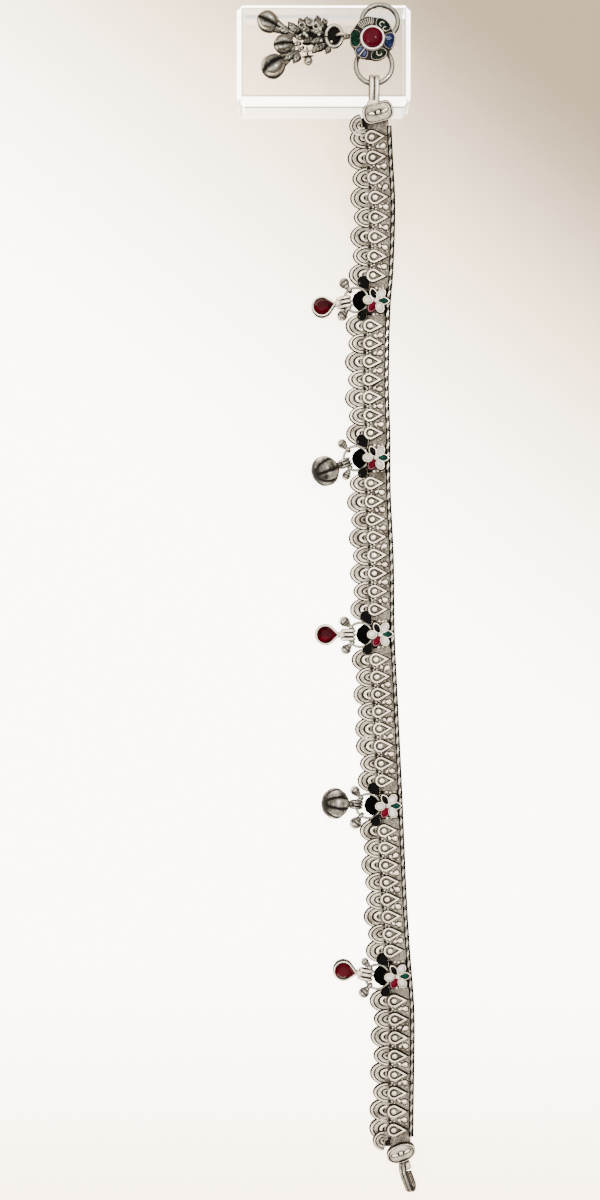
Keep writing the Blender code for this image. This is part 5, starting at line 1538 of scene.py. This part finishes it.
def charm_bell(bell, creases, sharp, phase):
    radius = bell["radius"] * CHARM_BELL_RADIUS
    neck = bell["neck"] * CHARM_NECK_LENGTH
    start = CHARM_LOOP_RADIUS + CHARM_LOOP_WIRE - SINK
    end = start + neck
    dip = asin((CHARM_BAR_CENTRE.z - (TOP + radius)) / (end + radius))
    heading = spun(bell["heading"])
    hook = Matrix.Translation(on_bar(radians(bell["angle"])))
    place = hook @ heading @ Matrix.Rotation(dip, 4, "Y")
    shape = Shape()
    thin = CHARM_NECK_RADIUS
    profile = [(start, 0, 0.5), (start + LIFT, thin, 0.4)]
    for share in (0.1, 0.3, 0.5, 0.7, 0.88, 0.97):
        profile.append((start + neck * share, thin * (1.4 + 2.6 * share ** 1.3), 0.0))
    profile += [(end + radius * a, radius * r, depth) for a, r, depth in CHARM_BELL_ROWS]
    shape.turned(place, profile, 40, creases, 0.12, sharp, phase)
    shape.ring(place @ UPRIGHT, CHARM_LOOP_RADIUS, CHARM_LOOP_WIRE, sides=20, wire_sides=8, dark=0.4)
    if neck > 3 * MM:
        # Cast leaves on the stem carry the head's foliage on
        for x, y, z, turn, length in (
            (0.0, 0.7, 0.2, 25, 2.8), (0.0, -0.7, 0.2, -25, 2.8), (1.2, 0.1, 0.5, 4, 3.0),
        ):
            leaf = place @ at(start + x * MM, y * MM, z * MM, turn)
            add_ribbed_leaf(shape, leaf, length * MM, 1.9 * MM, 0.7 * MM)
    made(bell["name"], "shell", shape, [DARK_SILVER])


# Stage


def paper_floor():
    mesh = bpy.data.meshes.new("floor")
    half = FLOOR_HALF
    corners = [(-half, -half, 0), (half, -half, 0), (half, half, 0), (-half, half, 0)]
    mesh.from_pydata(corners, [], [(0, 1, 2, 3)])
    floor = in_scene("floor", mesh)
    floor.location.z = -0.05 * MM
    material, tree, shader = new_finish("pale_paper")
    where = spot_on(tree)
    spot = parts_of(tree, where)
    # A glowing table with painted shade: it falls into shade behind the block, more so to the right, and a
    # little at its foot
    slant = reckon(tree, spot["Y"], reckon(tree, spot["X"], 0.8, "MULTIPLY"))
    shade = spread(tree, slant, -0.125, 0.045)
    shade.node.interpolation_type = "SMOOTHSTEP"
    foot = spread(tree, spot["Y"], -0.262, -0.2)
    colour = blended(tree, foot, (0.62, 0.47, 0.34), (0.95, 0.88, 0.77))
    colour = blended(tree, spread(tree, shade, 0.0, 0.65), colour, (0.42, 0.33, 0.23))
    colour = blended(tree, spread(tree, shade, 0.65, 1.0), colour, (0.080, 0.062, 0.039))
    tree.links.new(colour, shader.inputs["Base Color"])
    tree.links.new(colour, shader.inputs["Emission Color"])
    shader.inputs["Emission Strength"].default_value = FLOOR_GLOW
    shader.inputs["Roughness"].default_value = 0.85
    mesh.materials.append(material)


def camera_above():
    camera = in_scene("camera", bpy.data.cameras.new("camera"))
    camera.location = (CAMERA_X, CAMERA_Y, CAMERA_Z)
    camera.data.sensor_width = FILM_WIDTH
    camera.data.lens = FILM_WIDTH * CAMERA_Z / FRAME_HEIGHT
    camera.data.clip_start = 0.01
    bpy.context.scene.camera = camera


def soft_lights():
    for name, place, size, power, colour in (
        ("key", (0.22, 0.06, 0.50), 0.06, 1.8, (1.0, 0.97, 0.93)),
        ("fill", (-0.40, -0.28, 0.42), 0.22, 2.0, (1.0, 0.98, 0.96)),
    ):
        data = bpy.data.lights.new(name, "AREA")
        data.energy = power
        data.size = size
        data.color = colour
        light = in_scene(name, data)
        light.location = place
        aim = Vector((0.0, CAMERA_Y, 0.0)) - Vector(place)
        light.rotation_euler = aim.to_track_quat("-Z", "Y").to_euler()


def soft_room():
    """A soft lit ceiling, dark towards the horizon."""
    world = bpy.data.worlds.new("soft_room")
    bpy.context.scene.world = world
    world.use_nodes = True
    tree = world.node_tree
    ray = tree.nodes.new("ShaderNodeTexCoord").outputs["Generated"]
    lean = tree.nodes.new("ShaderNodeVectorMath")
    lean.operation = "DOT_PRODUCT"
    lean.inputs[1].default_value = (-0.12, 0.16, 0.98)
    tree.links.new(ray, lean.inputs[0])
    lit = spread(tree, lean.outputs["Value"], 0.3, 0.88)
    back = tree.nodes["Background"]
    tree.links.new(blended(tree, lit, (0.03, 0.028, 0.025), (1.0, 0.965, 0.90)), back.inputs["Color"])
    back.inputs["Strength"].default_value = CEILING


PATINA = patina_group()
CAST_SKIN = cast_skin_group()
FIRED_GLASS = fired_glass_group()
# Silvers: rubbed, cloud and crease colour
LIGHT_SILVER = silver(
    "oxidised_silver_rubbed", (0.87, 0.77, 0.62), (0.16, 0.13, 0.092), (0.010, 0.008, 0.006),
    polish=0.36, dull=0.7, clouds=0.7, skin=0.5,
)
BRIGHT_WIRE = silver(
    "silver_wire", (0.72, 0.66, 0.55), (0.20, 0.18, 0.15), (0.006, 0.005, 0.004),
    polish=0.22, dull=0.6, clouds=0.4, skin=0.2,
)
DARK_SILVER = silver(
    "silver_gone_dark", (0.33, 0.305, 0.255), (0.035, 0.031, 0.026), (0.004, 0.0035, 0.003),
    polish=0.2, dull=0.5, clouds=0.55, skin=0.2,
)
BELL_SILVER = silver(
    "bell_silver", (0.36, 0.335, 0.285), (0.03, 0.027, 0.023), (0.006, 0.005, 0.004),
    polish=0.34, dull=0.5, clouds=0.9, skin=0.2,
)
CAST_SILVER = silver(
    "cast_silver_polished", (0.46, 0.42, 0.345), (0.035, 0.031, 0.025), (0.004, 0.0035, 0.003),
    polish=0.22, dull=0.6, clouds=0.9, skin=0.3,
)
# Black painted shade for the chain's bed and the stations' plates
SHADE_BLACK = silver(
    "shade_black_silver", (0.0015, 0.0013, 0.001), (0.003, 0.0026, 0.002), (0.001, 0.001, 0.001),
    polish=0.8, dull=0.9, clouds=0.4, skin=0.3,
)
BEZEL_EDGE = silver(
    "bezel_edge", (0.80, 0.70, 0.68), (0.30, 0.22, 0.21), (0.02, 0.008, 0.008),
    polish=0.3, dull=0.5, clouds=0.3, skin=0.15,
)
# Enamels: light, deep and streak colour
GREEN = enamel("green_enamel", (0.0015, 0.030, 0.020), (0.0004, 0.008, 0.006), (0.08, 0.16, 0.12), 0.2)
WHITE = enamel("white_enamel", (0.80, 0.76, 0.69), (0.45, 0.42, 0.37), (0.9, 0.9, 0.88), 0.2)
BLACK = enamel(
    "black_enamel", (0.0015, 0.0013, 0.0012), (0.0008, 0.0008, 0.0008), (0.006, 0.006, 0.007), 0.05,
)
CRIMSON = enamel("crimson_enamel", (0.085, 0.0006, 0.008), (0.040, 0.0, 0.003), (0.25, 0.05, 0.07), 0.15)
BLUSH = enamel("pink_enamel", (0.25, 0.09, 0.105), (0.14, 0.04, 0.055), (0.4, 0.28, 0.28), 0.3)
EMERALD = enamel(
    "emerald_enamel", (0.0010, 0.020, 0.010), (0.0003, 0.004, 0.0025), (0.06, 0.14, 0.10), 0.25,
)
GREY_ENAMEL = enamel(
    "grey_enamel", (0.026, 0.025, 0.023), (0.009, 0.0085, 0.008), (0.09, 0.09, 0.085), 0.3,
)
BOTTLE = enamel(
    "bottle_green_enamel", (0.0012, 0.0085, 0.006), (0.0004, 0.0018, 0.0014), (0.06, 0.09, 0.08),
    0.15,
)
BLUE = enamel("blue_enamel", (0.006, 0.012, 0.042), (0.0012, 0.003, 0.018), (0.08, 0.11, 0.18), 0.3)
MOSS = enamel("moss_enamel", (0.004, 0.010, 0.0045), (0.0004, 0.0018, 0.0014), (0.08, 0.09, 0.04), 0.3)
VIOLET = enamel("violet_enamel", (0.018, 0.019, 0.046), (0.005, 0.0055, 0.02), (0.1, 0.1, 0.16), 0.35)
PALE = enamel("pale_enamel", (0.22, 0.26, 0.38), (0.12, 0.15, 0.28), (0.4, 0.42, 0.5), 0.3)
CABOCHON = stone("red_cabochon_polished", (0.062, 0.0002, 0.006), (0.032, 0.0, 0.003), 0.05, 240.0)
CRIMSON_STONE = stone("crimson_stone_cut", (0.055, 0.0003, 0.004), (0.011, 0.0, 0.0008), 0.03, 500.0)
SAMPLES = route_samples()

paper_floor()
camera_above()
soft_lights()
soft_room()
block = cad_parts["acrylic_block"]
block.data.materials.clear()
block.data.materials.append(acrylic())
for number in range(len(SECTIONS)):
    band_section(number)
edge_chain()
for number, (along, drops) in enumerate(zip(station_places(), DROPS)):
    station(number, along)
    if drops["main"] == "pear":
        pear_drop(number, along, drops["angle"])
    else:
        bell_drop(number, along, drops["angle"])
    for k, (angle, share) in enumerate(drops["small"], 1):
        small_bell(f"small_bell_{number + 1}_{k}", along, angle, share * SMALL_BELL_RADIUS)
upper_cap()
lower_cap()
clasp_flower()
clasp_stone()
clasp_rings()
charm_head()
for bell, grooves in zip(CHARM_BELLS, BELL_GROOVES):
    charm_bell(bell, *grooves)
